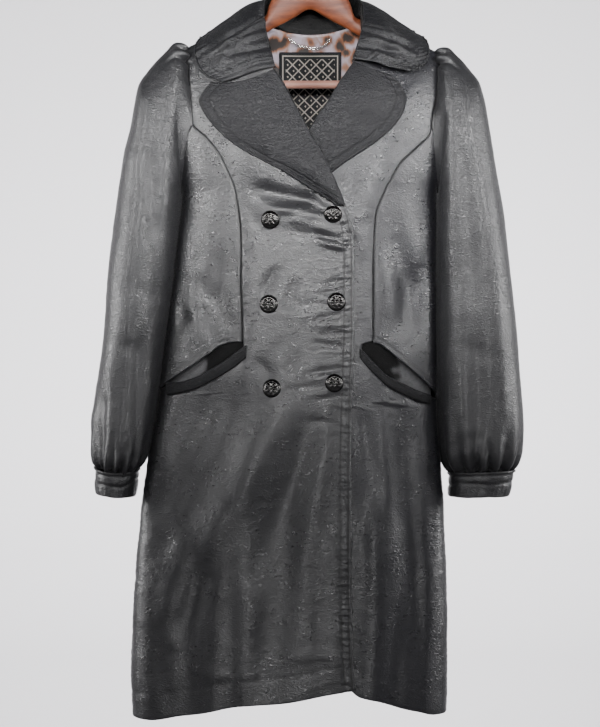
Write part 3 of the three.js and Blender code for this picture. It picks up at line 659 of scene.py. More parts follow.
COLLAR_CREASES = table("x0 d0 x1 d1 width depth", """
-64 132 -112 166 4 3.4
-70 128 -112 156 4 -2.4
-60 170 -104 178 5 -2.2
-66 150 -128 174 4 2.4
-100 150 -118 190 5 2.0
-84 166 -80 192 5 -1.6
72 140 124 158 5 2.4
66 168 112 176 5 -2.0
80 156 130 176 4 2.2
104 140 120 186 5 1.8
92 176 88 192 5 1.6
""")


def hermite(t, a, b, slope_a, slope_b):
    """A cubic from a to b with given slopes at its ends."""
    start = (2 * t**3 - 3 * t**2 + 1) * a + (t**3 - 2 * t**2 + t) * slope_a
    end = (3 * t**2 - 2 * t**3) * b + (t**3 - t**2) * slope_b
    return start + end


def read(rows, key, column, at):
    """Monotone smooth reading of one column of a table at a key."""
    k, v = rows[key], rows[column]
    at = np.asarray(at, float)
    slope = np.diff(v) / np.diff(k)
    tangent = np.empty(len(k))
    tangent[0], tangent[-1] = slope[0], slope[-1]
    before, after = slope[:-1], slope[1:]
    total = np.where(before + after == 0, 1, before + after)
    tangent[1:-1] = np.where(before * after <= 0, 0, 2 * before * after / total)
    i = np.clip(np.searchsorted(k, at, side="left") - 1, 0, len(k) - 2)
    span = k[i + 1] - k[i]
    t = np.clip((at - k[i]) / span, 0, 1)
    return hermite(t, v[i], v[i + 1], span * tangent[i], span * tangent[i + 1])


def step(a, b, at):
    """A smooth rise from 0 at a to 1 at b."""
    t = np.clip((np.asarray(at, float) - a) / (b - a), 0, 1)
    return t * t * (3 - 2 * t)


def mix(a, b, t):
    return a + (b - a) * t


def bell(distance, width):
    """A smooth hump of height 1 round zero."""
    return np.exp(-((distance / width) ** 2))


LATTICE = np.random.RandomState(7).rand(LATTICE_SIZE, LATTICE_SIZE, LATTICE_SIZE)


def noise(x, y, z, scale, seed):
    """Smooth value noise from -1 to 1."""
    p = [np.asarray(c, float) / scale + seed * 7.31 for c in (x, y, z)]
    i = [np.floor(c).astype(int) for c in p]
    f = [c - a for c, a in zip(p, i)]
    f = [c * c * (3 - 2 * c) for c in f]
    out = 0
    for corner in np.ndindex(2, 2, 2):
        w = [c if far else 1 - c for c, far in zip(f, corner)]
        cell = tuple((c + far) % LATTICE_SIZE for c, far in zip(i, corner))
        out = out + w[0] * w[1] * w[2] * LATTICE[cell]
    return 2 * out - 1


def ripple(along, scale, seed):
    """Smooth noise along one length."""
    return noise(along, 0, 0, scale, seed)


def creases(p, scale, seed, lean, stretch=2.6):
    """Crinkle: sharp little ridges that run across the cloth, a little aslant."""
    x, y, z = p[..., 0], p[..., 1], p[..., 2]
    along = (x + lean * z) / stretch
    across = z - lean * x
    return 1 - 2 * np.abs(noise(along, y / stretch, across, scale, seed))


def crinkle(p, seed, amount=1.0, broad=1.0):
    """The crinkled satin's relief, in millimetres; its broad swells run down to the left."""
    x, y, z = p[..., 0], p[..., 1], p[..., 2]
    patch = 0.6 + 0.5 * noise(x, y, z, 70, seed + 3)
    along, across = (x + z) * 0.35, (z - x) * 0.9
    large = 1.0 * noise(along, y, across, 38, seed) + 1.6 * noise(along, y, across, 90, seed + 6)
    middle = 0.4 * creases(p, 17, seed + 1, 0.3) * patch
    small = 0.24 * creases(p, 8.5, seed + 2, -0.25, 2.2) * patch
    return amount * (broad * large + middle + small)


def fold_depth(folds, x, drop):
    """Depth of soft folds along straight lines, each fading out past its ends."""
    total = 0
    for x0, d0, x1, d1, width, depth in zip(*folds.values()):
        dx, dd = x1 - x0, d1 - d0
        length = math.hypot(dx, dd)
        along = ((x - x0) * dx + (drop - d0) * dd) / length
        off = ((x - x0) * dd - (drop - d0) * dx) / length / width
        past = np.maximum(np.abs(along - length / 2) - length * 0.3, 0) / (length * 0.28 + width * 0.5)
        total = total + depth * np.exp(-off * off - past * past)
    return total


def section(drop):
    """The body's centre and half width, and its depths in front and behind."""
    left, right, front, back = (read(BODY, "drop", c, drop) for c in ("left", "right", "front", "back"))
    return (left + right) / 2, (right - left) / 2, front, back


def angle_at(x, drop):
    """The angle round the body's section that has a given x."""
    centre, half, _, _ = section(drop)
    share = np.minimum(np.abs(x - centre) / half, 1)
    angle = np.arcsin(share ** (LENS_POWER / 2))
    return np.sign(x - centre) * np.minimum(angle, math.pi / 2 - SIDE_CLEARANCE)


def body_point(angle, drop, side, lift, folds=True):
    """A point on the body: side is -1 in front and 1 behind, and lift moves it outwards."""
    centre, half, front, back = section(drop)
    x = centre + half * np.sign(angle) * np.abs(np.sin(angle)) ** (2 / LENS_POWER)
    below = np.maximum(drop - read(SHOULDER, "x", "drop", x), RIDGE_GAP) / SHOULDER_ROUND
    rounding = np.where(below >= 1, 1, np.sin(np.minimum(below, 1) * math.pi / 2) ** ROUND_POWER)
    full = np.abs(np.cos(angle)) ** (2 / LENS_POWER)
    fold = fold_depth(FRONT_FOLDS if side < 0 else BACK_FOLDS, x, drop) * np.minimum(full * 1.5, 1)
    if folds:
        fine = FRONT_CREASES if side < 0 else BACK_CREASES
        fold = fold + fold_depth(fine, x, drop) * np.minimum(full * 1.5, 1)
    raised = lift(x, drop) * np.minimum(full * 4, 1)
    depth = (front if side < 0 else back) * full * rounding - fold + raised
    return np.stack([x, side * np.maximum(depth, SEAM_GAP), -np.asarray(drop, float)], -1)


def front_at(x, drop, lift):
    return body_point(angle_at(x, drop), drop, -1, lift)


def under_lift(x, _drop):
    """How far the under front lies inside the form, below the other front."""
    return -LAYER_STEP * (1 - step(45, 80, x))


def over_lift(x, _drop):
    """How far the top front lies out from the form, over the other front."""
    return OVER_STEP * step(-112, -80, x)


def flat(x, _drop):
    """No lift: on the form itself."""
    return 0 * x


def unit(v):
    return v / np.maximum(np.linalg.norm(v, axis=-1, keepdims=True), 1e-9)


def normals(grid, out, closed=False):
    """Outward normals of a grid of points; out is 1 or -1."""
    if closed:
        across = np.roll(grid, -1, 1) - np.roll(grid, 1, 1)
    else:
        across = np.gradient(grid, axis=1)
    down = np.gradient(grid, axis=0)
    return unit(np.cross(across, down)) * out


def lifted(grid, out, relief, closed=False):
    """Moves a grid's points out along their normals."""
    return grid + normals(grid, out, closed) * relief[..., None]


def run(grid, axis):
    """Length in millimetres along a grid's rows or columns."""
    gap = np.linalg.norm(np.diff(grid, axis=axis), axis=-1)
    pad = [(0, 0), (0, 0)]
    pad[axis] = (1, 0)
    return np.cumsum(np.pad(gap, pad), axis=axis)


def puckers(dist, along, seed, spacing, height, reach):
    """Short uneven ridges across a stitched edge."""
    drift = ripple(along, 31, seed) * 1.9
    strength = 0.55 + 0.45 * ripple(along, 17, seed + 5)
    wave = np.sin(2 * math.pi * (along / spacing + drift))
    wave = np.sign(wave) * np.abs(wave) ** 0.7
    middle = reach * (0.6 + 0.15 * ripple(along, 13, seed + 9))
    return height * wave * strength * bell(dist - middle, reach * 0.75)


def stitched_edge(dist, along, seed, height=0.85, spacing=9.5):
    """A topstitched edge: grooves under the stitch lines, and puckers between them."""
    near_line, far_line = STITCH_LINES
    out = puckers(dist, along, seed, spacing, height, far_line)
    return out - 0.4 * bell(dist - near_line, 1.3) - 0.8 * bell(dist - far_line, 1.3)


def seam(dist, along, seed):
    """A plain seam: a narrow valley with light puckers beside it."""
    drift = ripple(along, 37, seed) * 1.5
    light = 0.3 * bell(dist, 9) * np.sin(2 * math.pi * (along / 11.0 + drift)) * (1 - bell(dist, 2.5))
    return light - 0.6 * bell(dist, 1.4)


def turned(grid, out, edge, radius=1.8, steps=5, sweep=165, closed=False):
    """Adds the rounded turn of a folded edge at the bottom, left or right of a grid."""
    n = normals(grid, out, closed)
    if edge == "bottom":
        p, t, m = grid[-1], unit(grid[-2] - grid[-1]), n[-1]
    elif edge == "left":
        p, t, m = grid[:, 0], unit(grid[:, 1] - grid[:, 0]), n[:, 0]
    else:
        p, t, m = grid[:, -1], unit(grid[:, -2] - grid[:, -1]), n[:, -1]
    extra = []
    for k in range(1, steps + 1):
        a = math.radians(sweep) * k / steps
        extra.append(p - m * radius + radius * (m * math.cos(a) - t * math.sin(a)))
    if edge == "bottom":
        return np.concatenate([grid, np.stack(extra, 0)], 0)
    if edge == "left":
        return np.concatenate([np.stack(extra[::-1], 1), grid], 1)
    return np.concatenate([grid, np.stack(extra, 1)], 1)


def turned_lined(grid, line, out, edge, radius=1.8, steps=5, sweep=165):
    """Turns an edge over, and gives the turn line values of zero."""
    grid = turned(grid, out, edge, radius, steps, sweep)
    pads = {"bottom": ((0, steps), (0, 0)), "left": ((0, 0), (steps, 0)), "right": ((0, 0), (0, steps))}
    return grid, np.pad(line, pads[edge])


def mesh_object(name, points, faces, material):
    """A smooth mesh from points in millimetres."""
    mesh = bpy.data.meshes.new(name)
    mesh.from_pydata([tuple(p) for p in np.asarray(points, float) * MM], [], [tuple(f) for f in faces])
    mesh.polygons.foreach_set("use_smooth", [True] * len(mesh.polygons))
    mesh.materials.append(material)
    mesh.update()
    obj = bpy.data.objects.new(name, mesh)
    bpy.context.scene.collection.objects.link(obj)
    return obj


def shell(name, grid, out, material, closed=False, thickness=1.4, line=None):
    """A thin closed shell of cloth on a grid of outer points; line holds the painted shade of seams and
    stitches.
    """
    rows, cols = grid.shape[:2]
    inner = grid - normals(grid, out, closed) * thickness
    points = np.concatenate([grid.reshape(-1, 3), inner.reshape(-1, 3)])
    index = np.arange(rows * cols).reshape(rows, cols)
    right = np.roll(index, -1, 1) if closed else index[:, 1:]
    left = index if closed else index[:, :-1]
    a, b, c, d = left[:-1], right[:-1], right[1:], left[1:]
    over = rows * cols
    outer = np.stack([a, b, c, d], -1).reshape(-1, 4)
    back = np.stack([a, d, c, b], -1).reshape(-1, 4) + over
    rims = [(right[0], left[0]), (left[-1], right[-1])]
    if not closed:
        rims += [(index[:-1, 0], index[1:, 0]), (index[1:, -1], index[:-1, -1])]
    faces = np.concatenate([outer, back] + [np.stack([p, q, q + over, p + over], -1) for p, q in rims])
    if out < 0:
        faces = faces[:, ::-1]
    obj = mesh_object(name, points, faces, material)
    painted_shade_marks = obj.data.attributes.new("line", "FLOAT", "POINT")
    values = np.zeros((rows, cols)) if line is None else line
    painted_shade_marks.data.foreach_set("value", np.concatenate([values.ravel(), 0 * values.ravel()]).astype(np.float32))
    return obj


def near(dist, lines, width):
    """How near points are to any of some lines, from 0 to 1."""
    return np.clip(sum(bell(dist - line, width) for line in lines), 0, 1)


def tube_faces(rows, cols, flip=False):
    """Faces between rings of points, and a cap on each end."""
    faces = []
    for i in range(rows - 1):
        for j in range(cols):
            k = (j + 1) % cols
            faces.append((i * cols + j, i * cols + k, (i + 1) * cols + k, (i + 1) * cols + j))
    first = tuple(range(cols))
    last = tuple(range((rows - 1) * cols, rows * cols))
    if flip:
        return [(face[0], *face[:0:-1]) for face in faces] + [first, last[::-1]]
    return faces + [first[::-1], last]


# Materials


def material(name, color, roughness, metallic=0.0, **more):
    m = bpy.data.materials.new(name)
    m.use_nodes = True
    shader = m.node_tree.nodes["Principled BSDF"]
    shader.inputs["Base Color"].default_value = (*color, 1)
    shader.inputs["Roughness"].default_value = roughness
    shader.inputs["Metallic"].default_value = metallic
    for key, value in more.items():
        shader.inputs[key.replace("_", " ")].default_value = value
    return m


class Nodes:
    """Short names for making shader nodes and links."""

    def __init__(self, m):
        self.tree = m.node_tree
        self.shader = m.node_tree.nodes["Principled BSDF"]
        self.place = self.tree.nodes.new("ShaderNodeTexCoord").outputs["Object"]

    def node(self, kind, **inputs):
        n = self.tree.nodes.new(kind)
        for key, value in inputs.items():
            socket = n.inputs[{"first": 0, "second": 1}.get(key, key)]
            if hasattr(value, "is_linked"):
                self.tree.links.new(value, socket)
            else:
                socket.default_value = value
        return n

    def math(self, operation, a, b=0.0):
        n = self.node("ShaderNodeMath", first=a, second=b)
        n.operation = operation
        return n.outputs[0]

    def add(self, a, b):
        return self.math("ADD", a, b)

    def minus(self, a, b):
        return self.math("SUBTRACT", a, b)

    def times(self, a, b):
        return self.math("MULTIPLY", a, b)

    def scaled(self, scale, turn=(0, 0, 0)):
        return self.node("ShaderNodeMapping", Vector=self.place, Scale=scale, Rotation=turn).outputs[0]

    def noise(self, vector, scale, detail=2.0, roughness=0.5, distortion=0.0):
        n = self.node("ShaderNodeTexNoise", Vector=vector, Scale=scale, Detail=detail, Roughness=roughness)
        n.inputs["Distortion"].default_value = distortion
        return n.outputs[0]

    def ridges(self, *values):
        """Noise folded over at its middle, which makes sharp creases."""
        return self.math("ABSOLUTE", self.minus(self.noise(*values), 0.5))

    def blend(self, share, first, second):
        return self.node("ShaderNodeMixRGB", Fac=share, Color1=first, Color2=second).outputs[0]

    def ramp(self, value, stops):
        n = self.node("ShaderNodeValToRGB", Fac=value)
        ramp = n.color_ramp
        while len(ramp.elements) < len(stops):
            ramp.elements.new(0.5)
        for e, (at, color) in zip(ramp.elements, stops):
            e.position = at
            e.color = (*color, 1)
        return n.outputs[0]

    def bump(self, height, strength, distance, normal=None):
        n = self.node("ShaderNodeBump", Strength=strength, Distance=distance, Height=height)
        if normal is not None:
            self.tree.links.new(normal, n.inputs["Normal"])
        return n.outputs[0]

    def set(self, name, value):
        self.tree.links.new(value, self.shader.inputs[name])


def satin(name, color, roughness, strength, specular):
    """Crinkled satin; the mesh's line attribute paints shade into seams, stitch grooves and pocket depths: it
    darkens their colour and dulls them.
    """
    m = material(name, color, roughness, Specular_IOR_Level=specular, Sheen_Weight=0.04, Sheen_Roughness=0.4)
    n = Nodes(m)
    coarse = n.ridges(n.scaled((1, 1, 1.9), (0, 0.25, 0)), COARSE_CREASES, 2.0, 0.5, 1.1)
    fine = n.ridges(n.scaled((1, 1, 2.0), (0, -0.35, 0)), FINE_CREASES, 1.0, 0.45, 0.6)
    height = n.add(n.times(coarse, 1.1), n.times(fine, 0.55))
    weave = n.bump(n.noise(n.place, WEAVE_SCALE, 1, 0.5), 0.08, WEAVE_HEIGHT)
    n.set("Normal", n.bump(height, strength, CREASE_HEIGHT, weave))
    mark = n.tree.nodes.new("ShaderNodeAttribute")
    mark.attribute_name = "line"
    line = mark.outputs["Fac"]
    flats = [n.math("MINIMUM", n.times(wave, 9), 1.0) for wave in (coarse, fine)]
    worn = n.times(n.minus(2.0, n.add(*flats)), 0.11)
    spots = n.times(n.noise(n.place, 26, 3, 0.6), 0.12)
    matte = n.add(n.times(line, 0.5), worn)
    n.set("Roughness", n.add(n.add(roughness - 0.06, spots), matte))
    tone = n.noise(n.scaled((1, 1, 1.6)), 190, 3, 0.6)
    cloth = n.ramp(tone, [(0.3, [c * 0.8 for c in color]), (0.7, [c * 1.25 for c in color])])
    # Painted shade: the colour goes nearly black where the line attribute is high.
    n.set("Base Color", n.blend(line, cloth, (0.001, 0.001, 0.001, 1)))
    return m


SATIN = satin("satin", (0.008, 0.008, 0.009), 0.275, 0.56, 0.62)
SATIN_SLEEVE = satin("satin_sleeve", (0.009, 0.009, 0.010), 0.305, 0.58, 0.48)
# A shaded copy of the satin for lapels and welts: its darker colour and duller gloss are painted shade.
SATIN_SHADED = satin("satin_shaded", (0.005, 0.005, 0.006), 0.33, 0.95, 0.21)
SATIN_UNDER = satin("satin_under", (0.007, 0.007, 0.009), 0.275, 0.56, 0.55)
# A shaded copy of the satin for the collar: its darker colour is painted shade.
SATIN_COLLAR_SHADED = satin("satin_collar_shaded", (0.005, 0.005, 0.006), 0.33, 0.95, 0.31)
# The stand's near black copy of the satin is the hanger's shadow painted in.
SATIN_STAND_SHADOWED = satin("satin_stand_shadowed", (0.003, 0.003, 0.003), 0.42, 0.9, 0.12)
POCKET = satin("pocket_cloth", (0.05, 0.05, 0.052), 0.42, 0.7, 0.3)


def lining_material():
    """A soft animal print: dark spots with brown rims on a grey lilac ground."""
    m = material("lining_print", (0.55, 0.5, 0.56), 0.42, Specular_IOR_Level=0.45)
    n = Nodes(m)
    bent = n.blend(0.035, n.place, n.noise(n.place, 22, 2, 0.5))
    spots = n.node("ShaderNodeTexVoronoi", Vector=bent, Scale=48).outputs["Distance"]
    stripe = n.noise(n.scaled((1, 1, 0.4), (0, 0.5, 0)), 75, 2, 0.5, 1.5)
    n.set("Base Color", n.ramp(n.add(spots, n.times(stripe, 0.5)), [
        (0.55, (0.010, 0.007, 0.006)),
        (0.67, (0.13, 0.048, 0.020)),
        (0.79, (0.16, 0.12, 0.12)),
        (0.94, (0.22, 0.19, 0.22)),
    ]))
    n.set("Normal", n.bump(n.noise(n.place, 150, 2), 0.2, 0.0008))
    return m


LINING_CLOTH = lining_material()


def label_material():
    """A dark woven label with a plain border and a lattice of dots."""
    m = material("label_cloth", (0.02, 0.019, 0.022), 0.75, Specular_IOR_Level=0.15)
    n = Nodes(m)
    split = n.node("ShaderNodeSeparateXYZ", Vector=n.place)
    x = n.minus(split.outputs["X"], (LABEL["left"] + LABEL["right"]) / 2 * MM)
    z = n.add(split.outputs["Z"], (LABEL["top"] + LABEL["bottom"]) / 2 * MM)
    half_x = (LABEL["right"] - LABEL["left"]) / 2 * MM
    half_z = (LABEL["bottom"] - LABEL["top"]) / 2 * MM
    inset = [n.minus(half, n.math("ABSOLUTE", at)) for half, at in ((half_x, x), (half_z, z))]
    from_edge = n.math("MINIMUM", *inset)
    border = n.math("LESS_THAN", n.math("ABSOLUTE", n.minus(from_edge, LABEL_BORDER)), 0.0008)
    inside = n.math("GREATER_THAN", from_edge, 0.009)
    cells = [n.math("FRACT", n.times(diagonal, LABEL_CELLS)) for diagonal in (n.add(x, z), n.minus(x, z))]
    lines = [n.math("LESS_THAN", n.math("ABSOLUTE", n.minus(cell, 0.5)), 0.07) for cell in cells]
    squares = [n.math("POWER", n.minus(cell, 0.02), 2.0) for cell in cells]
    dots = n.math("LESS_THAN", n.add(*squares), 0.035)
    pattern = n.math("MAXIMUM", n.math("MAXIMUM", *lines), dots)
    mark = n.math("MAXIMUM", border, n.times(pattern, inside))
    n.set("Base Color", n.blend(mark, (0.006, 0.006, 0.007, 1), (0.20, 0.18, 0.16, 1)))
    n.set("Normal", n.bump(n.noise(n.place, 900, 1), 0.2, 0.0003))
    return m


LABEL_CLOTH = label_material()


def wood_material(name, dark, light):
    """Lacquered wood with a fine grain along the hanger."""
    m = material(name, light, 0.45, Specular_IOR_Level=0.25)
    n = Nodes(m)
    grain = n.noise(n.scaled((0.16, 1, 1), (0, 0.5, 0)), 130, 5, 0.62, 0.8)
    n.set("Base Color", n.ramp(grain, [(0.32, dark), (0.68, light)]))
    n.set("Normal", n.bump(grain, 0.12, 0.0006))
    return m


WOOD_LACQUER = wood_material("wood_lacquer", (0.052, 0.012, 0.005), (0.13, 0.036, 0.013))
BAR_WOOD = wood_material("bar_wood", (0.16, 0.075, 0.058), (0.25, 0.13, 0.10))


def metal_material(name, color, roughness):
    """Metal that is a little worn in patches."""
    m = material(name, color, roughness, 1.0)
    n = Nodes(m)
    n.set("Roughness", n.add(roughness - 0.05, n.times(n.noise(n.place, 160, 3), 0.1)))
    return m


METAL = metal_material("metal", (0.52, 0.51, 0.50), 0.25)
BUTTON_METAL = metal_material("button_metal", (0.050, 0.049, 0.048), 0.2)

# Body panels


def smooth_columns(rows, names, q):
    """Smooth readings of some columns of a table at row numbers q."""
    index = {**rows, "i": np.arange(len(rows[names[0]]), dtype=float)}
    return [read(index, "i", name, q) for name in names]


def under_ridge(x, drop, rank):
    """Keeps the first rows below the shoulder's ridge, each a little lower than the last."""
    ridge = read(SHOULDER, "x", "drop", x) + RIDGE_GAP + 1.6 * (rank**2 + rank)[:, None]
    return np.where(rank[:, None] < RIDGE_ROWS, np.maximum(drop, ridge), drop)


def front_grid(side_table, inner_table, rows, hem, lift, height, width):
    """A front's outer points: rows from its side edge to its front edge, from shoulder to hem."""
    last = len(rows["side"]) - 1
    inner = np.linspace(rows["inner"][0], rows["inner"][-1], height)
    rank = np.interp(inner, rows["inner"], np.arange(last + 1.0))
    side = read(rows, "inner", "side", inner)
    side_angle = angle_at(read(side_table, "drop", "x", side), side)
    inner_angle = angle_at(read(inner_table, "drop", "x", inner), inner)
    s = 1 - (1 - np.linspace(0, 1, width)[None, :]) ** 1.4
    angle = mix(side_angle[:, None], inner_angle[:, None], s)
    drop = mix(side[:, None], inner[:, None], s)
    x = body_point(angle, drop, -1, flat, False)[..., 0]
    drop = under_ridge(x, drop, rank)
    pull = ((rank / last) ** 6)[:, None]
    drop = drop + (read(hem, "x", "drop", x) - mix(rows["side"][-1], rows["inner"][-1], s)) * pull
    return body_point(angle, drop, -1, lift)


def hem_relief(across, down, scale, seed):
    """A waving hem band and the valley over it."""
    from_hem = down[-1:] - down
    return 0.9 * ripple(across, scale, seed) * bell(from_hem, 34) - 0.5 * bell(from_hem - 32, 3)


def finished_front(grid, out, seed, edge_from):
    """Relief of a front: crinkle, side seam, hem, and a stitched front edge below edge_from."""
    across, down = run(grid, 1), run(grid, 0)
    from_edge = across[:, -1:] - across
    below = step(edge_from - 8, edge_from + 12, -grid[..., 2])
    relief = crinkle(grid, seed) + seam(across, down, seed + 11)
    relief = relief + stitched_edge(from_edge, down, seed + 17, height=1.15) * below
    relief = relief + hem_relief(across, down, 42, seed + 21)
    # Painted shade along the two stitch lines of the front edge and along the side seam.
    line = np.maximum(near(from_edge, STITCH_LINES, 1.1) * 0.75 * below, near(across, (0.0,), 1.4) * 0.6)
    return lifted(grid, out, relief), line


ROWS_LEFT = {
    "side": FRONT_ROWS["side"] + 4 * (1 - step(166, 560, FRONT_ROWS["side"])),
    "inner": np.minimum(FRONT_ROWS["inner"], LEFT_HEM_DROP),
}
ROWS_LEFT["side"][-1] = SIDE_HEM_DROP[1]
ROWS_LEFT["inner"][-1] = LEFT_HEM_DROP

FINE = 1.0


def count(n):
    """A grid's count of rows or columns, scaled by FINE."""
    return max(int(n * FINE), 4)


def place(obj, node):
    """Says what a piece moves with and which node it replaces."""
    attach(obj, "root")
    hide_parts(node)
    return obj


def cloth(name, grid, out, mat, slot="satin", **more):
    """A placed shell of cloth."""
    return place(shell(name + "_cloth", grid, out, mat, **more), name)


tables = (RIGHT_FRONT_SIDE, RIGHT_FRONT_EDGE, FRONT_ROWS, HEM_RIGHT)
grid = front_grid(*tables, over_lift, count(390), count(100))
grid, line = finished_front(grid, -1, 1, ROLL_END)
grid, line = turned_lined(grid, line, -1, "right", 1.6)
grid, line = turned_lined(grid, line, -1, "bottom", 1.4)
front_right = cloth("front_right", grid, -1, SATIN, line=line)

tables = (LEFT_FRONT_SIDE, LEFT_FRONT_EDGE, ROWS_LEFT, HEM_LEFT)
grid = front_grid(*tables, under_lift, count(300), count(84))
grid, line = finished_front(grid, 1, 2, NO_STITCHING)
grid, line = turned_lined(grid, line, 1, "bottom", 1.4)
front_left = cloth("front_left", grid, 1, SATIN_UNDER, line=line)


def side_grid(princess, lip, rows, seam_gap, height, width):
    """A side front's outer points, from the armhole to the pocket's lip."""
    t = np.linspace(0, 1, height)
    span = LAST_SIDE_ROW - FIRST_SIDE_ROW
    inner = np.interp(t * span, np.arange(span + 1.0), rows["side"][FIRST_SIDE_ROW : LAST_SIDE_ROW + 1])
    side_drop = read({"i": np.arange(9.0), "d": SIDE_DROPS}, "i", "d", t * span)
    inner_x = read(princess, "drop", "x", inner) + seam_gap
    side_angle = np.sign(inner_x) * (math.pi / 2 - SIDE_CLEARANCE)
    inner_angle = angle_at(inner_x, inner)
    s = np.linspace(0, 1, width)[None, :]
    angle = mix(side_angle[:, None], inner_angle[:, None], s)
    drop = mix(side_drop[:, None], inner[:, None], s)
    x = body_point(angle, drop, -1, flat, False)[..., 0]
    pull = (t**4)[:, None]
    drop = drop + (read(lip, "x", "drop", x) - mix(SIDE_DROPS[-1], rows["side"][LAST_SIDE_ROW], s)) * pull
    return body_point(angle, drop, -1, flat)


def side_front(name, princess, lip, rows, gap, out, mat, seed):
    """An upper side front, with its seams and the stitched lip of the pocket."""
    grid = side_grid(princess, lip, rows, gap, count(115), count(44))
    across, down = run(grid, 1), run(grid, 0)
    from_seam, from_lip = across[:, -1:] - across, down[-1:] - down
    relief = crinkle(grid, seed) + seam(from_seam, down, seed + 3) + seam(across, down, seed + 4)
    relief = relief - 0.6 * bell(from_lip - 6, 1.4)
    # Painted shade along the princess seam and the pocket lip's stitch lines.
    line = np.maximum(near(from_seam, (0.0,), 1.4) * 0.6, near(from_lip, (5.5, 9.0), 0.9) * 0.5)
    grid = lifted(grid, out, relief)
    grid, line = turned_lined(grid, line, out, "bottom", 1.5)
    return cloth(name, grid, out, mat, line=line)


side_right = side_front("side_front_right", RIGHT_FRONT_SIDE, LIP_RIGHT, FRONT_ROWS, 0.1, -1, SATIN, 5)
side_left = side_front("side_front_left", LEFT_FRONT_SIDE, LIP_LEFT, ROWS_LEFT, -0.1, 1, SATIN_UNDER, 6)


def back_grid(height, width):
    """The back's outer points, from neck and shoulders to hem."""
    fall = np.linspace(0, BACK_LENGTH, height)
    share = fall / BACK_LENGTH
    edges = []
    for i, column, beyond in ((0, "left", -400), (1, "right", 400)):
        edge_drop = mix(SHOULDER_DROP[i], SIDE_HEM_DROP[i], share)
        edge = np.where(edge_drop < ARMHOLE_FOOT, read(ARMHOLE, "drop", column, edge_drop), beyond)
        edges.append(angle_at(edge, edge_drop)[:, None])
    s = np.linspace(0, 1, width)[None, :]
    angle = mix(*edges, s)
    top = read(BACK_NECK, "x", "drop", mix(*SHOULDER_X, s))
    hem = mix(*SIDE_HEM_DROP, s) - BACK_HEM_RISE * np.sin(math.pi * s)
    drop = mix(top, hem, share[:, None])
    x = body_point(angle, drop, 1, flat, False)[..., 0]
    drop = under_ridge(x, drop, np.interp(fall, [0, 4, 13, 32], [0, 1, 2, 3]))
    return body_point(angle, drop, 1, flat)


grid = back_grid(count(250), count(112))
across, down = run(grid, 1), run(grid, 0)
relief = crinkle(grid, 9) + seam(across, down, 31) + seam(across[:, -1:] - across, down, 32)
relief = relief + hem_relief(across, down, 40, 33)
grid = lifted(grid, 1, relief)
grid = turned(grid, 1, "bottom", 1.4)
back = cloth("back", grid, 1, SATIN)

# Sleeves


def ring_points(rows, q, angle, lean=0.0):
    """Rings of a sleeve or cuff; lean moves the inner side towards the body."""
    columns = ("outX", "outDrop", "inX", "inDrop", "front", "back", "dip")
    out_x, out_d, in_x, in_d, front, rear, dip = smooth_columns(rows, columns, q)
    in_x = in_x + lean * step(0.5, 2, q) * (1 - step(14.5, 16.5, q))
    share = (1 - np.cos(angle)) / 2
    turn = np.sin(angle)
    depth = np.sign(turn) * np.abs(turn) ** 0.9 * np.where(turn > 0, front[:, None], rear[:, None])
    x = mix(out_x[:, None], in_x[:, None], share)
    drop = mix(out_d[:, None], in_d[:, None], share) + dip[:, None] * turn
    return np.stack([x, -depth, -drop], -1)


def armhole_loop(side, angle):
    """The body's armhole as a ring for the sleeve's first row."""
    i = 0 if side < 0 else 1
    drop = mix(SHOULDER_DROP[i], ARMHOLE_FOOT - 1, (1 - np.cos(angle)) / 2)
    edge = read(ARMHOLE, "drop", ("left", "right")[i], drop)
    front = body_point(angle_at(edge, drop), drop, -1, flat, False)[..., 1]
    rear = body_point(angle_at(edge, drop), drop, 1, flat, False)[..., 1]
    y = np.where(np.sin(angle) > 0, front, rear) * np.clip(np.abs(np.sin(angle)) * 12, 0, 1)
    return np.stack([edge + side * 0.3, y, -drop], -1)


GATHERS_RIGHT = table("turn reach width height", """
12 60 0.16 2.2
30 40 0.10 -2.6
48 95 0.20 -5.0
64 55 0.12 3.0
80 34 0.08 -2.6
90 44 0.09 2.4
101 24 0.07 -3.6
112 26 0.10 4.4
123 24 0.07 -4.2
135 36 0.10 3.4
147 30 0.08 -3.4
160 46 0.10 2.6
176 36 0.09 -2.4
196 60 0.14 2.4
216 40 0.10 -2.6
236 70 0.14 2.6
258 50 0.10 -2.8
278 80 0.14 2.4
300 44 0.10 -2.6
322 66 0.14 2.6
344 40 0.10 -2.2
""")

GATHERS_LEFT = table("turn reach width height", """
8 50 0.13 2.2
24 36 0.09 -2.4
40 70 0.13 2.6
56 40 0.08 -3.0
68 46 0.09 3.0
79 34 0.07 -3.8
90 44 0.09 3.8
101 36 0.07 -3.8
112 60 0.11 3.2
126 40 0.09 -2.8
142 80 0.13 2.8
158 44 0.09 -2.4
178 60 0.12 2.4
200 40 0.10 -2.6
220 70 0.14 2.6
242 46 0.10 -2.6
262 60 0.13 2.4
284 40 0.10 -2.8
306 76 0.14 2.6
330 44 0.10 -2.4
""")


def gathers(rows, angle, from_cuff):
    """Ridges and hollows that run up from the cuff and die out at their own reach."""
    total = -bell(from_cuff, 45)
    for turn, reach, width, height in zip(*rows.values()):
        around = (angle - math.radians(turn) + math.pi) % (2 * math.pi) - math.pi
        wide = width * (1 + from_cuff / 120)
        total = total + height * bell(around, wide) * np.exp(-((from_cuff / reach) ** 1.8))
    return total


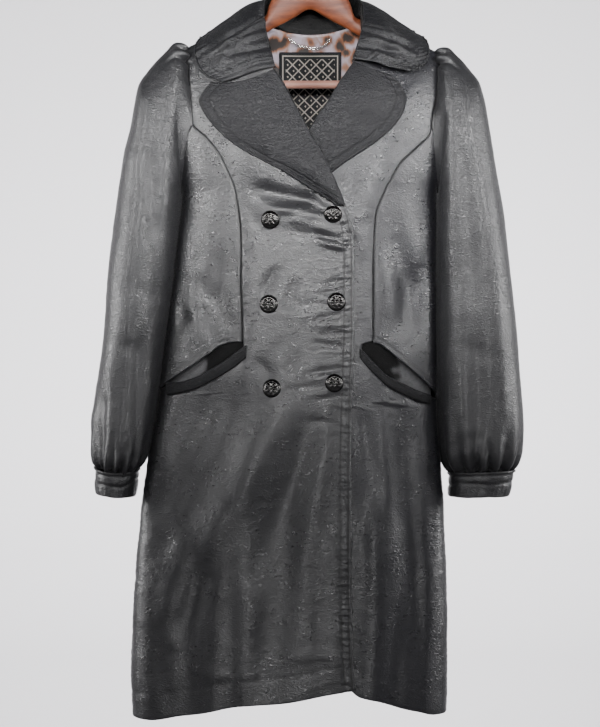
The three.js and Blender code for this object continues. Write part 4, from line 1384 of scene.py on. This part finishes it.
def sleeve(name, rows, gather_rows, side, out, seed):
    """A puff sleeve: tucks and gathers at its top seam, folds, and gathers into the cuff."""
    around = count(170)
    even = (np.arange(around) / around * 2 * math.pi)[None, :]
    angle = even - 0.4 * np.sin(even)
    q = np.linspace(0, len(rows["outX"]) - 1, count(196))
    grid = ring_points(rows, q, angle, -side * 2.4)
    loop = armhole_loop(side, angle[0])
    blend = np.clip(1 - q, 0, 1)[:, None, None] ** 1.3
    grid = mix(grid, loop[None], blend)
    drop = -grid[..., 2]
    turn = np.sin(angle)
    away = run(grid, 0)
    from_cuff = away[-1:] - away
    ramp = np.minimum(q / 3, 1)[:, None]
    sunk = fold_depth(SLEEVE_FOLDS, grid[..., 0], drop) + 0.7 * fold_depth(SLEEVE_CREASES, grid[..., 0], drop)
    relief = -sunk * np.abs(turn) * ramp
    relief = relief + crinkle(grid, seed, 1.0, 0.6) * np.minimum(0.35 + q[:, None] / 3, 1)
    relief = relief + 1.35 * gathers(gather_rows, angle, from_cuff)
    top = np.clip(np.cos(angle), 0, 1)
    relief = relief + 3.2 * top * bell(away - 12, 12) - 1.2 * bell(away, 3)
    signed = np.where(angle > math.pi, angle - 2 * math.pi, angle)
    for tuck, reach in ((0.20, 17), (0.50, 24), (-0.25, 18), (-0.55, 22)):
        off = (signed - tuck) * math.copysign(1, tuck)
        relief = relief + 4.6 * bell(off, 0.10) * bell(away, reach)
        relief = relief - 5.0 * bell(off - 0.13, 0.05) * bell(away - 2, reach * 1.1)
    cap = np.sin(angle * 26 + 2 * ripple(angle * 40, 20, seed)) * np.clip(np.cos(angle) + 0.35, 0, 1)
    relief = relief + 0.45 * cap * bell(away, 15) - 1.2 * bell(from_cuff, 4)
    grid = lifted(grid, out, relief, True)
    inside = grid[-1:] - normals(grid, out, True)[-1:] * 2.5 - np.array([0, 0, 5.0])
    tucked = loop * np.array([1, 0.82, 1]) - np.array([side * 5.0, 0, 0])
    middle = mix(loop, tucked, 0.5)
    grid = np.concatenate([tucked[None], middle[None], grid, inside], 0)
    return cloth(name, grid, out, SATIN_SLEEVE, closed=True)


sleeve_right = sleeve("sleeve_right", SLEEVE_RIGHT, GATHERS_RIGHT, -1, -1, 51)
sleeve_left = sleeve("sleeve_left", SLEEVE_LEFT, GATHERS_LEFT, 1, 1, 61)


def cuff(name, rows, out, seed):
    """A narrow cuff with its seam to the sleeve, a crease round it and an uneven edge."""
    around = count(130)
    angle = (np.arange(around) / around * 2 * math.pi)[None, :]
    q = np.linspace(0, 2, count(20))
    grid = ring_points(rows, q, angle)
    down = run(grid, 0)
    along = run(np.concatenate([grid, grid[:, :1]], 1), 1)[:, :-1]
    relief = crinkle(grid, seed, 1.0) + 1.0
    relief = relief + 1.5 * noise(along, 0, down * 0.9, 17, seed + 2) * np.clip(down / 14, 0, 1)
    relief = relief - 1.3 * bell(down - 17 - 4 * ripple(along, 21, seed + 7), 2.2)
    relief = relief + 2.0 * bell(down - 1.5, 1.7) - 0.8 * bell(down - 5.5, 1.5)
    relief = relief + puckers(down[-1:] - down, along, seed + 6, 9, 0.35, 12)
    grid = lifted(grid, out, relief, True)
    grid[..., 2] += 2.2 * ripple(along, 15, seed + 8) * np.clip((down - 22) / 12, 0, 1)
    grid = turned(grid, out, "bottom", 1.5, closed=True)
    return cloth(name, grid, out, SATIN_SLEEVE, closed=True)


cuff_right = cuff("cuff_right", CUFF_RIGHT, -1, 71)
cuff_left = cuff("cuff_left", CUFF_LEFT, 1, 81)

# Lapels, collar, stand


def lapel(name, rows, lift, out, seed, spacing):
    """A turned-out lapel, raised along its roll line."""
    q = np.linspace(0, len(rows["rollX"]) - 1, count(100))
    columns = ("rollX", "rollDrop", "outX", "outDrop", "sag", "roll")
    roll_x, roll_d, out_x, out_d, sag, roll = smooth_columns(rows, columns, q)
    s = np.linspace(0, 1, count(70))[None, :]
    x = mix(roll_x[:, None], out_x[:, None], s)
    drop = mix(roll_d[:, None], out_d[:, None], s) + sag[:, None] * 4 * s * (1 - s)
    rise = roll[:, None] * np.sin(math.pi * np.minimum(s * 1.15, 1))
    grid = body_point(angle_at(x, drop), drop, -1, lambda a, b: lift(a, b) + LAYER_STEP + 2.6 + rise, False)
    across, down = run(grid, 1), run(grid, 0)
    from_edge = across[:, -1:] - across
    relief = crinkle(grid, seed, 1.25) + stitched_edge(from_edge, down, seed + 2, height=0.8, spacing=spacing)
    swell = noise(grid[..., 0], grid[..., 2] * 0.4, 0, 26, seed + 4)
    relief = relief + 1.1 * swell * step(0, 25, from_edge)
    grid = lifted(grid, out, relief)
    # Painted shade along the stitch lines.
    line = near(from_edge, STITCH_LINES, 1.0) * 0.5
    grid, line = turned_lined(grid, line, out, "left", 2.4, 6)
    grid, line = turned_lined(grid, line, out, "right", 1.7)
    return cloth(name, grid, out, SATIN_SHADED, line=line)


lapel_right = lapel("lapel_right", LAPEL_RIGHT, over_lift, 1, 91, 8.5)
lapel_left = lapel("lapel_left", LAPEL_LEFT, under_lift, -1, 95, 9.0)


def collar_grid(height, width):
    """The collar leaf's outer points, through four curves from its fold to its edge."""
    q = np.linspace(0, len(COLLAR["fx"]) - 1, height)
    rows = np.stack([smooth_open(column, q) for column in COLLAR.values()], -1).reshape(height, 4, 3)
    t = np.linspace(0, 3, width)
    cubic = np.stack([smooth_open(rows[:, :, c], t, 1) for c in range(3)], -1)
    cubic[..., 2] *= -1
    return cubic


def smooth_open(values, at, axis=0):
    """Smooth curve through evenly spaced values."""
    v = np.moveaxis(np.asarray(values, float), axis, 0)
    n = v.shape[0]
    i = np.clip(np.floor(at).astype(int), 0, n - 2)
    shape = (-1,) + (1,) * (v.ndim - 1)
    t = (at - i).reshape(shape)
    tangent = np.gradient(v, axis=0)
    return np.moveaxis(hermite(t, v[i], v[i + 1], tangent[i], tangent[i + 1]), 0, axis)


grid = collar_grid(count(300), count(56))
across, down = run(grid, 1), run(grid, 0)
from_edge = np.minimum(across[:, -1:] - across, 0.9 * np.minimum(down, down[-1:] - down))
relief = crinkle(grid, 101, 1.2) + stitched_edge(from_edge, down, 103, height=0.8, spacing=9)
relief = relief + 1.3 * noise(grid[..., 0], grid[..., 1], grid[..., 2], 30, 107) * step(0, 25, from_edge)
relief = relief - 1.5 * fold_depth(COLLAR_CREASES, grid[..., 0], -grid[..., 2]) * (grid[..., 1] < 10)
grid = lifted(grid, 1, relief)
# Painted shade along the stitch lines.
line = near(from_edge, STITCH_LINES, 1.0) * 0.5
grid, line = turned_lined(grid, line, 1, "left", 1.6, 5, 120)
grid, line = turned_lined(grid, line, 1, "right")
collar = cloth("collar", grid, 1, SATIN_COLLAR_SHADED, line=line)

q = np.linspace(0, len(COLLAR["fx"]) - 1, count(170))
fold = np.stack([smooth_open(COLLAR[c], q) for c in ("fx", "fy", "fd")], -1)
foot = np.stack([smooth_open(STAND_FOOT[c], q) for c in ("x", "y", "drop")], -1)
fold[:, 0] += np.where(fold[:, 0] > 5, -1.2, 1.2) * np.clip(np.abs(fold[:, 0] - 5) / 12, 0, 1)
fold[:, 1] -= step(5, 20, fold[:, 1])
fold[:, 2] += 1.2
t = np.linspace(0, 1, count(18))[None, :, None]
grid = mix(foot[:, None], fold[:, None], t)
grid[..., 2] *= -1
relief = 0.5 * crinkle(grid, 111) - 0.6 * bell(t[..., 0] - 0.12, 0.04)
grid = lifted(grid, 1, relief)
stand = cloth("collar_stand", grid, 1, SATIN_STAND_SHADOWED)

# Pockets, lining, label


def strip(rows, lift, height, width):
    """Points between the top and bottom lines of a table, on the lifted front."""
    x = np.linspace(rows["x"][0], rows["x"][-1], height)
    top, bottom = read(rows, "x", "top", x), read(rows, "x", "bottom", x)
    t = np.linspace(0, 1, width)[None, :]
    drop = mix(top[:, None], bottom[:, None], t)
    return front_at(x[:, None] + 0 * t, drop, lift)


def welt(name, rows, base, seed):
    """A slanted pocket welt with a raised edge."""
    grid = strip(rows, lambda a, b: base(a, b) + 3.0, count(60), count(14))
    across = run(grid, 1)
    relief = crinkle(grid, seed, 0.6) + 0.9 * np.sin(math.pi * np.clip(across / across[:, -1:], 0, 1)) ** 0.7
    relief = relief + puckers(across, run(grid, 0), seed + 2, 12, 0.5, 12)
    relief = relief + 0.9 * bell(across, 1.6)
    # Painted shade over the welt's band below its top edge and along its lower seam.
    line = np.maximum(step(1.2, 3.2, across) * 0.3, near(across[:, -1:] - across, (0.0,), 1.4))
    grid = lifted(grid, 1, relief)
    grid, line = turned_lined(grid, line, 1, "left", 1.4)
    grid, line = turned_lined(grid, line, 1, "right", 1.2)
    return cloth(name, grid, 1, SATIN_SHADED, line=line)


def backing(name, rows, base, start, gap):
    """The pale cloth inside a pocket mouth, with painted shade towards its inner end."""

    def lift(x, drop):
        return base(x, drop) - 2 - gap - np.maximum(np.abs(x) - start, 0) * 0.16

    grid = strip(rows, lift, count(40), count(26))
    share = (grid[..., 0] - rows["x"][0]) / (rows["x"][-1] - rows["x"][0])
    deep = share if rows["x"][0] < -100 else 1 - share
    deep = deep + 0.12 * noise(grid[..., 0], 0, grid[..., 2], 9, 141)
    # Painted shade: the inner part of the pocket's cloth is darkened.
    line = step(0.40, 0.52, deep)
    grid = lifted(grid, 1, crinkle(grid, 143, 0.5))
    return cloth(name, grid, 1, POCKET, "pocket", line=line)


welt_right = welt("pocket_welt_right", WELT_RIGHT, over_lift, 121)
welt_left = welt("pocket_welt_left", WELT_LEFT, under_lift, 125)
backing_right = backing("pocket_backing_right", BACKING_RIGHT, flat, 110, 0.4)
backing_left = backing("pocket_backing_left", BACKING_LEFT, under_lift, 90, 0.9)


def inner_panel(box, ahead, height, width):
    """A panel on the inside of the back, moved forward from it."""
    s = np.linspace(0, 1, width)[None, :]
    x = mix(box["left"], box["right"], s)
    top = box["top"] - box["rise"] * np.abs(2 * s - 1) ** 2
    drop = mix(top, box["bottom"], np.linspace(0, 1, height)[:, None])
    x = x + 0 * drop
    grid = body_point(angle_at(x, drop), drop, 1, flat, False)
    grid[..., 1] -= ahead
    grid[..., 0] = x
    return grid


grid = inner_panel(LINING, LINING["behind"], count(60), count(44))
grid[..., 1] -= 1.2 * np.clip(noise(grid[..., 0], grid[..., 2] * 0.5, 0, 24, 131), 0, 1)
lining = cloth("lining_back", grid, -1, LINING_CLOTH, "lining", thickness=1.0)
grid = inner_panel(LABEL, LINING["behind"] + LABEL["ahead"], count(50), count(34))
label = place(shell("label_cloth_piece", grid, -1, LABEL_CLOTH, thickness=0.8), "label")

# Buttons, hanger, chain


def swept(name, path, radius, around, mat):
    """A round rod along a path in the plane of the hanger."""
    path = np.asarray(path, float)
    tangent = unit(np.gradient(path, axis=0))
    side = unit(np.cross(tangent, np.array([0.0, 1.0, 0.02])))
    up = np.cross(side, tangent)
    a = np.arange(around) / around * 2 * math.pi
    ring = side[:, None] * np.cos(a)[None, :, None] + up[:, None] * np.sin(a)[None, :, None]
    points = (path[:, None] + radius * ring).reshape(-1, 3)
    return mesh_object(name, points, tube_faces(len(path), around), mat)


def button(name, x, drop, tip):
    """A domed button with a ribbed rosette, square to the cloth; tip turns it down a little."""

    def at(right, down):
        return front_at(np.array(x + right), np.array(drop + down), over_lift)

    seat = front_at(np.array(x), np.array(drop), lambda a, b: over_lift(a, b) + 0.2)
    out = -unit(np.cross(at(10.0, 0.0) - at(-10.0, 0.0), at(0.0, 10.0) - at(0.0, -10.0)))
    out = unit(out + np.array([0, 0, -tip]))
    side = unit(np.cross(out, np.array([0, 0, 1.0])))
    up = np.cross(side, out)
    around = 72
    a = np.arange(around) / around * 2 * math.pi
    share, t = np.linspace(0.02, 1, 34)[:, None], a[None, :]
    r = share * BUTTON_RADIUS
    height = BUTTON_HEIGHT * (1 - share**2.4) ** 0.6 + 0.4
    petals = 0.65 * np.cos(8 * t) * bell(share - 0.42, 0.16)
    beads = 0.55 * np.cos(24 * t) * bell(share - 0.78, 0.07)
    knob = 0.8 * bell(share, 0.13)
    grooves = 0.45 * (bell(share - 0.65, 0.03) + bell(share - 0.2, 0.03))
    height = height + petals + beads + knob - grooves
    rings = [np.stack([r * np.cos(t), r * np.sin(t), height], -1)]
    for scale, level in ((1.0, 0.6), (0.9, -0.1), (0.3, -0.2)):
        edge = BUTTON_RADIUS * scale
        rings.append(np.stack([edge * np.cos(a), edge * np.sin(a), np.full(around, level)], -1)[None])
    shape = np.concatenate(rings, 0)
    world = seat + shape[..., :1] * side + shape[..., 1:2] * up + shape[..., 2:] * out
    faces = tube_faces(shape.shape[0], around, True)
    return place(mesh_object(name + "_dome", world.reshape(-1, 3), faces, BUTTON_METAL), name)


def mirrored(column, sign=1):
    """A half hanger's column as a smooth line over both arms."""
    values = WOOD[column]
    rows = np.linspace(0, 2 * (len(values) - 1), count(140))
    return smooth_open(np.concatenate([sign * values[1:][::-1], values]), rows)[:, None]


for row in BUTTONS:
    button(*row)

a = (np.arange(40) / 40 * 2 * math.pi)[None, :]
top, bottom = mirrored("top"), mirrored("bottom")
height = -(bottom + top) / 2 + (bottom - top) / 2 * np.sin(a)
grid = np.stack([mirrored("x", -1) + 0 * a, mirrored("half") * np.cos(a), height], -1)
faces = tube_faces(*grid.shape[:2])
place(mesh_object("hanger_wood", grid.reshape(-1, 3), faces, WOOD_LACQUER), "hanger_arms")
path = [(x, 0, -BAR_DROP) for x in np.linspace(-BAR_HALF_LENGTH, BAR_HALF_LENGTH, 24)]
place(swept("bar_rod", path, BAR_RADIUS, 32, BAR_WOOD), "trouser_bar")

turn = np.radians(np.linspace(-62, 200, 90))
bend = HOOK_BEND_RADIUS * np.stack([np.cos(turn), 0 * turn, np.sin(turn)], -1)
bend = bend + np.array([0, 0, HOOK_WIRE_RADIUS - HOOK_BEND_RADIUS])
stem = np.array([(0, 0, -66.0), (0, 0, -60.0), (0, 0, -53.0), bend[0]])
lead = smooth_open(stem, np.linspace(0, 2.98, 24))
place(swept("hook_wire", np.concatenate([lead, bend]), HOOK_WIRE_RADIUS, 20, METAL), "hook")


def torus(centre, tangent, up):
    """Points and faces of one oval chain link."""
    side = np.cross(tangent, up)
    a = np.arange(LINK_AROUND) / LINK_AROUND * 2 * math.pi
    b = np.arange(LINK_SECTION) / LINK_SECTION * 2 * math.pi
    u, v = np.meshgrid(a, b, indexing="ij")
    ring = LINK_RADIUS + LINK_WIRE * np.cos(v)
    local = (ring * np.cos(u) * LINK_STRETCH)[..., None] * tangent + (ring * np.sin(u))[..., None] * side
    points = centre + local + (LINK_WIRE * np.sin(v))[..., None] * up
    index = np.arange(LINK_AROUND * LINK_SECTION).reshape(LINK_AROUND, LINK_SECTION)
    ahead = np.roll(index, -1, 0)
    quads = np.stack([index, ahead, np.roll(ahead, -1, 1), np.roll(index, -1, 1)], -1)
    return points.reshape(-1, 3), quads.reshape(-1, 4)


t = np.linspace(0, len(CHAIN["x"]) - 1, 240)
chain_x, chain_d = smooth_open(CHAIN["x"], t), smooth_open(CHAIN["drop"], t)
chain_y = body_point(angle_at(chain_x, chain_d), chain_d, 1, flat, False)[:, 1] - LINING["behind"] - 3.4
chain = np.stack([chain_x, chain_y, -chain_d], -1)
length = np.concatenate([[0], np.cumsum(np.linalg.norm(np.diff(chain, axis=0), axis=1))])
links = int(length[-1] / LINK_PITCH)
points, faces = [], []


def on_chain(at):
    return np.array([np.interp(at, length, chain[:, c]) for c in range(3)])


for k in range(links + 1):
    at = length[-1] * k / links
    tangent = unit(on_chain(at + 1) - on_chain(at - 1))
    up = np.cross(tangent, np.array([0, 1.0, 0]))
    if k % 2 == 0:
        up = np.cross(up, tangent)
    link, quads = torus(on_chain(at), tangent, unit(up))
    faces.append(quads + k * len(link))
    points.append(link)
faces = np.concatenate(faces)
place(mesh_object("hang_chain_links", np.concatenate(points), faces, METAL), "hang_chain")

# Stage, light and camera


def bowl():
    """A round studio floor that curves up into a wall."""
    around = 96
    low = [(2.0, 0), (4.2, 0), (5.2, 0.08), (5.9, 0.38)]
    high = [(6.3, 0.95), (6.45, 1.8), (6.5, 5.2)]
    points, faces = [(0, 0, FLOOR)], []
    for r, z in low + high:
        for k in range(around):
            a = 2 * math.pi * k / around
            points.append((r * math.cos(a), r * math.sin(a), FLOOR + z))
    for k in range(around):
        faces.append((0, 1 + k, 1 + (k + 1) % around))
    for i in range(len(low + high) - 1):
        for k in range(around):
            a, b = 1 + i * around + k, 1 + i * around + (k + 1) % around
            faces.append((a, a + around, b + around, b))
    obj = mesh_object("studio_floor", np.array(points) / MM, faces, STAGE)


STAGE = material("studio_pale", (0.62, 0.61, 0.63), 0.9)
bowl()


def area(name, place_at, target, size, power, spread):
    """An area light in metres, watts and degrees, aimed at a target."""
    light = bpy.data.lights.new(name, "AREA")
    light.shape = "RECTANGLE"
    light.size, light.size_y = size
    light.energy = power
    light.spread = math.radians(spread)
    obj = bpy.data.objects.new(name, light)
    obj.location = place_at
    aim = Vector(target) - Vector(place_at)
    obj.rotation_euler = aim.to_track_quat("-Z", "Y").to_euler()
    bpy.context.scene.collection.objects.link(obj)


area("key_light", (0.0, -2.3, 0.10), (0, 0, -0.25), (1.2, 0.36), 3.9, 24)
area("key_left", (-1.75, -1.6, 0.10), (0, 0, -0.25), (1.4, 0.36), 4.1, 25)
area("key_right", (1.75, -1.6, 0.10), (0, 0, -0.25), (1.4, 0.36), 4.9, 25)
area("hem_light", (-0.1, -2.2, -0.66), (-0.02, 0, -1.02), (1.6, 0.3), 1.1, 32)
area("side_left", (-2.3, 0.1, -0.2), (-0.1, 0, -0.60), (1.0, 0.7), 4.5, 46)
area("side_right", (2.3, 0.1, -0.2), (0.1, 0, -0.60), (1.0, 0.7), 4.5, 46)
area("wall_front", (0, -1.4, 1.9), (0, -6.4, -0.6), (3.0, 1.2), 62, 130)
area("wall_left", (-1.4, 0, 1.9), (-6.4, 0, -0.6), (3.0, 1.2), 60, 130)
area("wall_right", (1.4, 0, 1.9), (6.4, 0, -0.6), (3.0, 1.2), 60, 130)
area("wall_light", (0, 1.8, 0.2), (0, 6.0, -0.6), (3.5, 2.2), 330, 110)

world = bpy.data.worlds.new("studio_world")
bpy.context.scene.world = world
world.use_nodes = True
background = world.node_tree.nodes["Background"]
background.inputs["Color"].default_value = (0.93, 0.95, 1.0, 1)
background.inputs["Strength"].default_value = 0.04

camera_data = bpy.data.cameras.new("camera")
camera_data.lens = SENSOR_WIDTH * CAMERA_DISTANCE / FIELD_HEIGHT
camera_data.clip_end = 40
camera = bpy.data.objects.new("camera", camera_data)
camera.location = (CAMERA_AT[0], CAMERA_AT[1] - CAMERA_DISTANCE, CAMERA_AT[2])
camera.rotation_euler = (math.pi / 2, 0, 0)
bpy.context.scene.collection.objects.link(camera)
bpy.context.scene.camera = camera
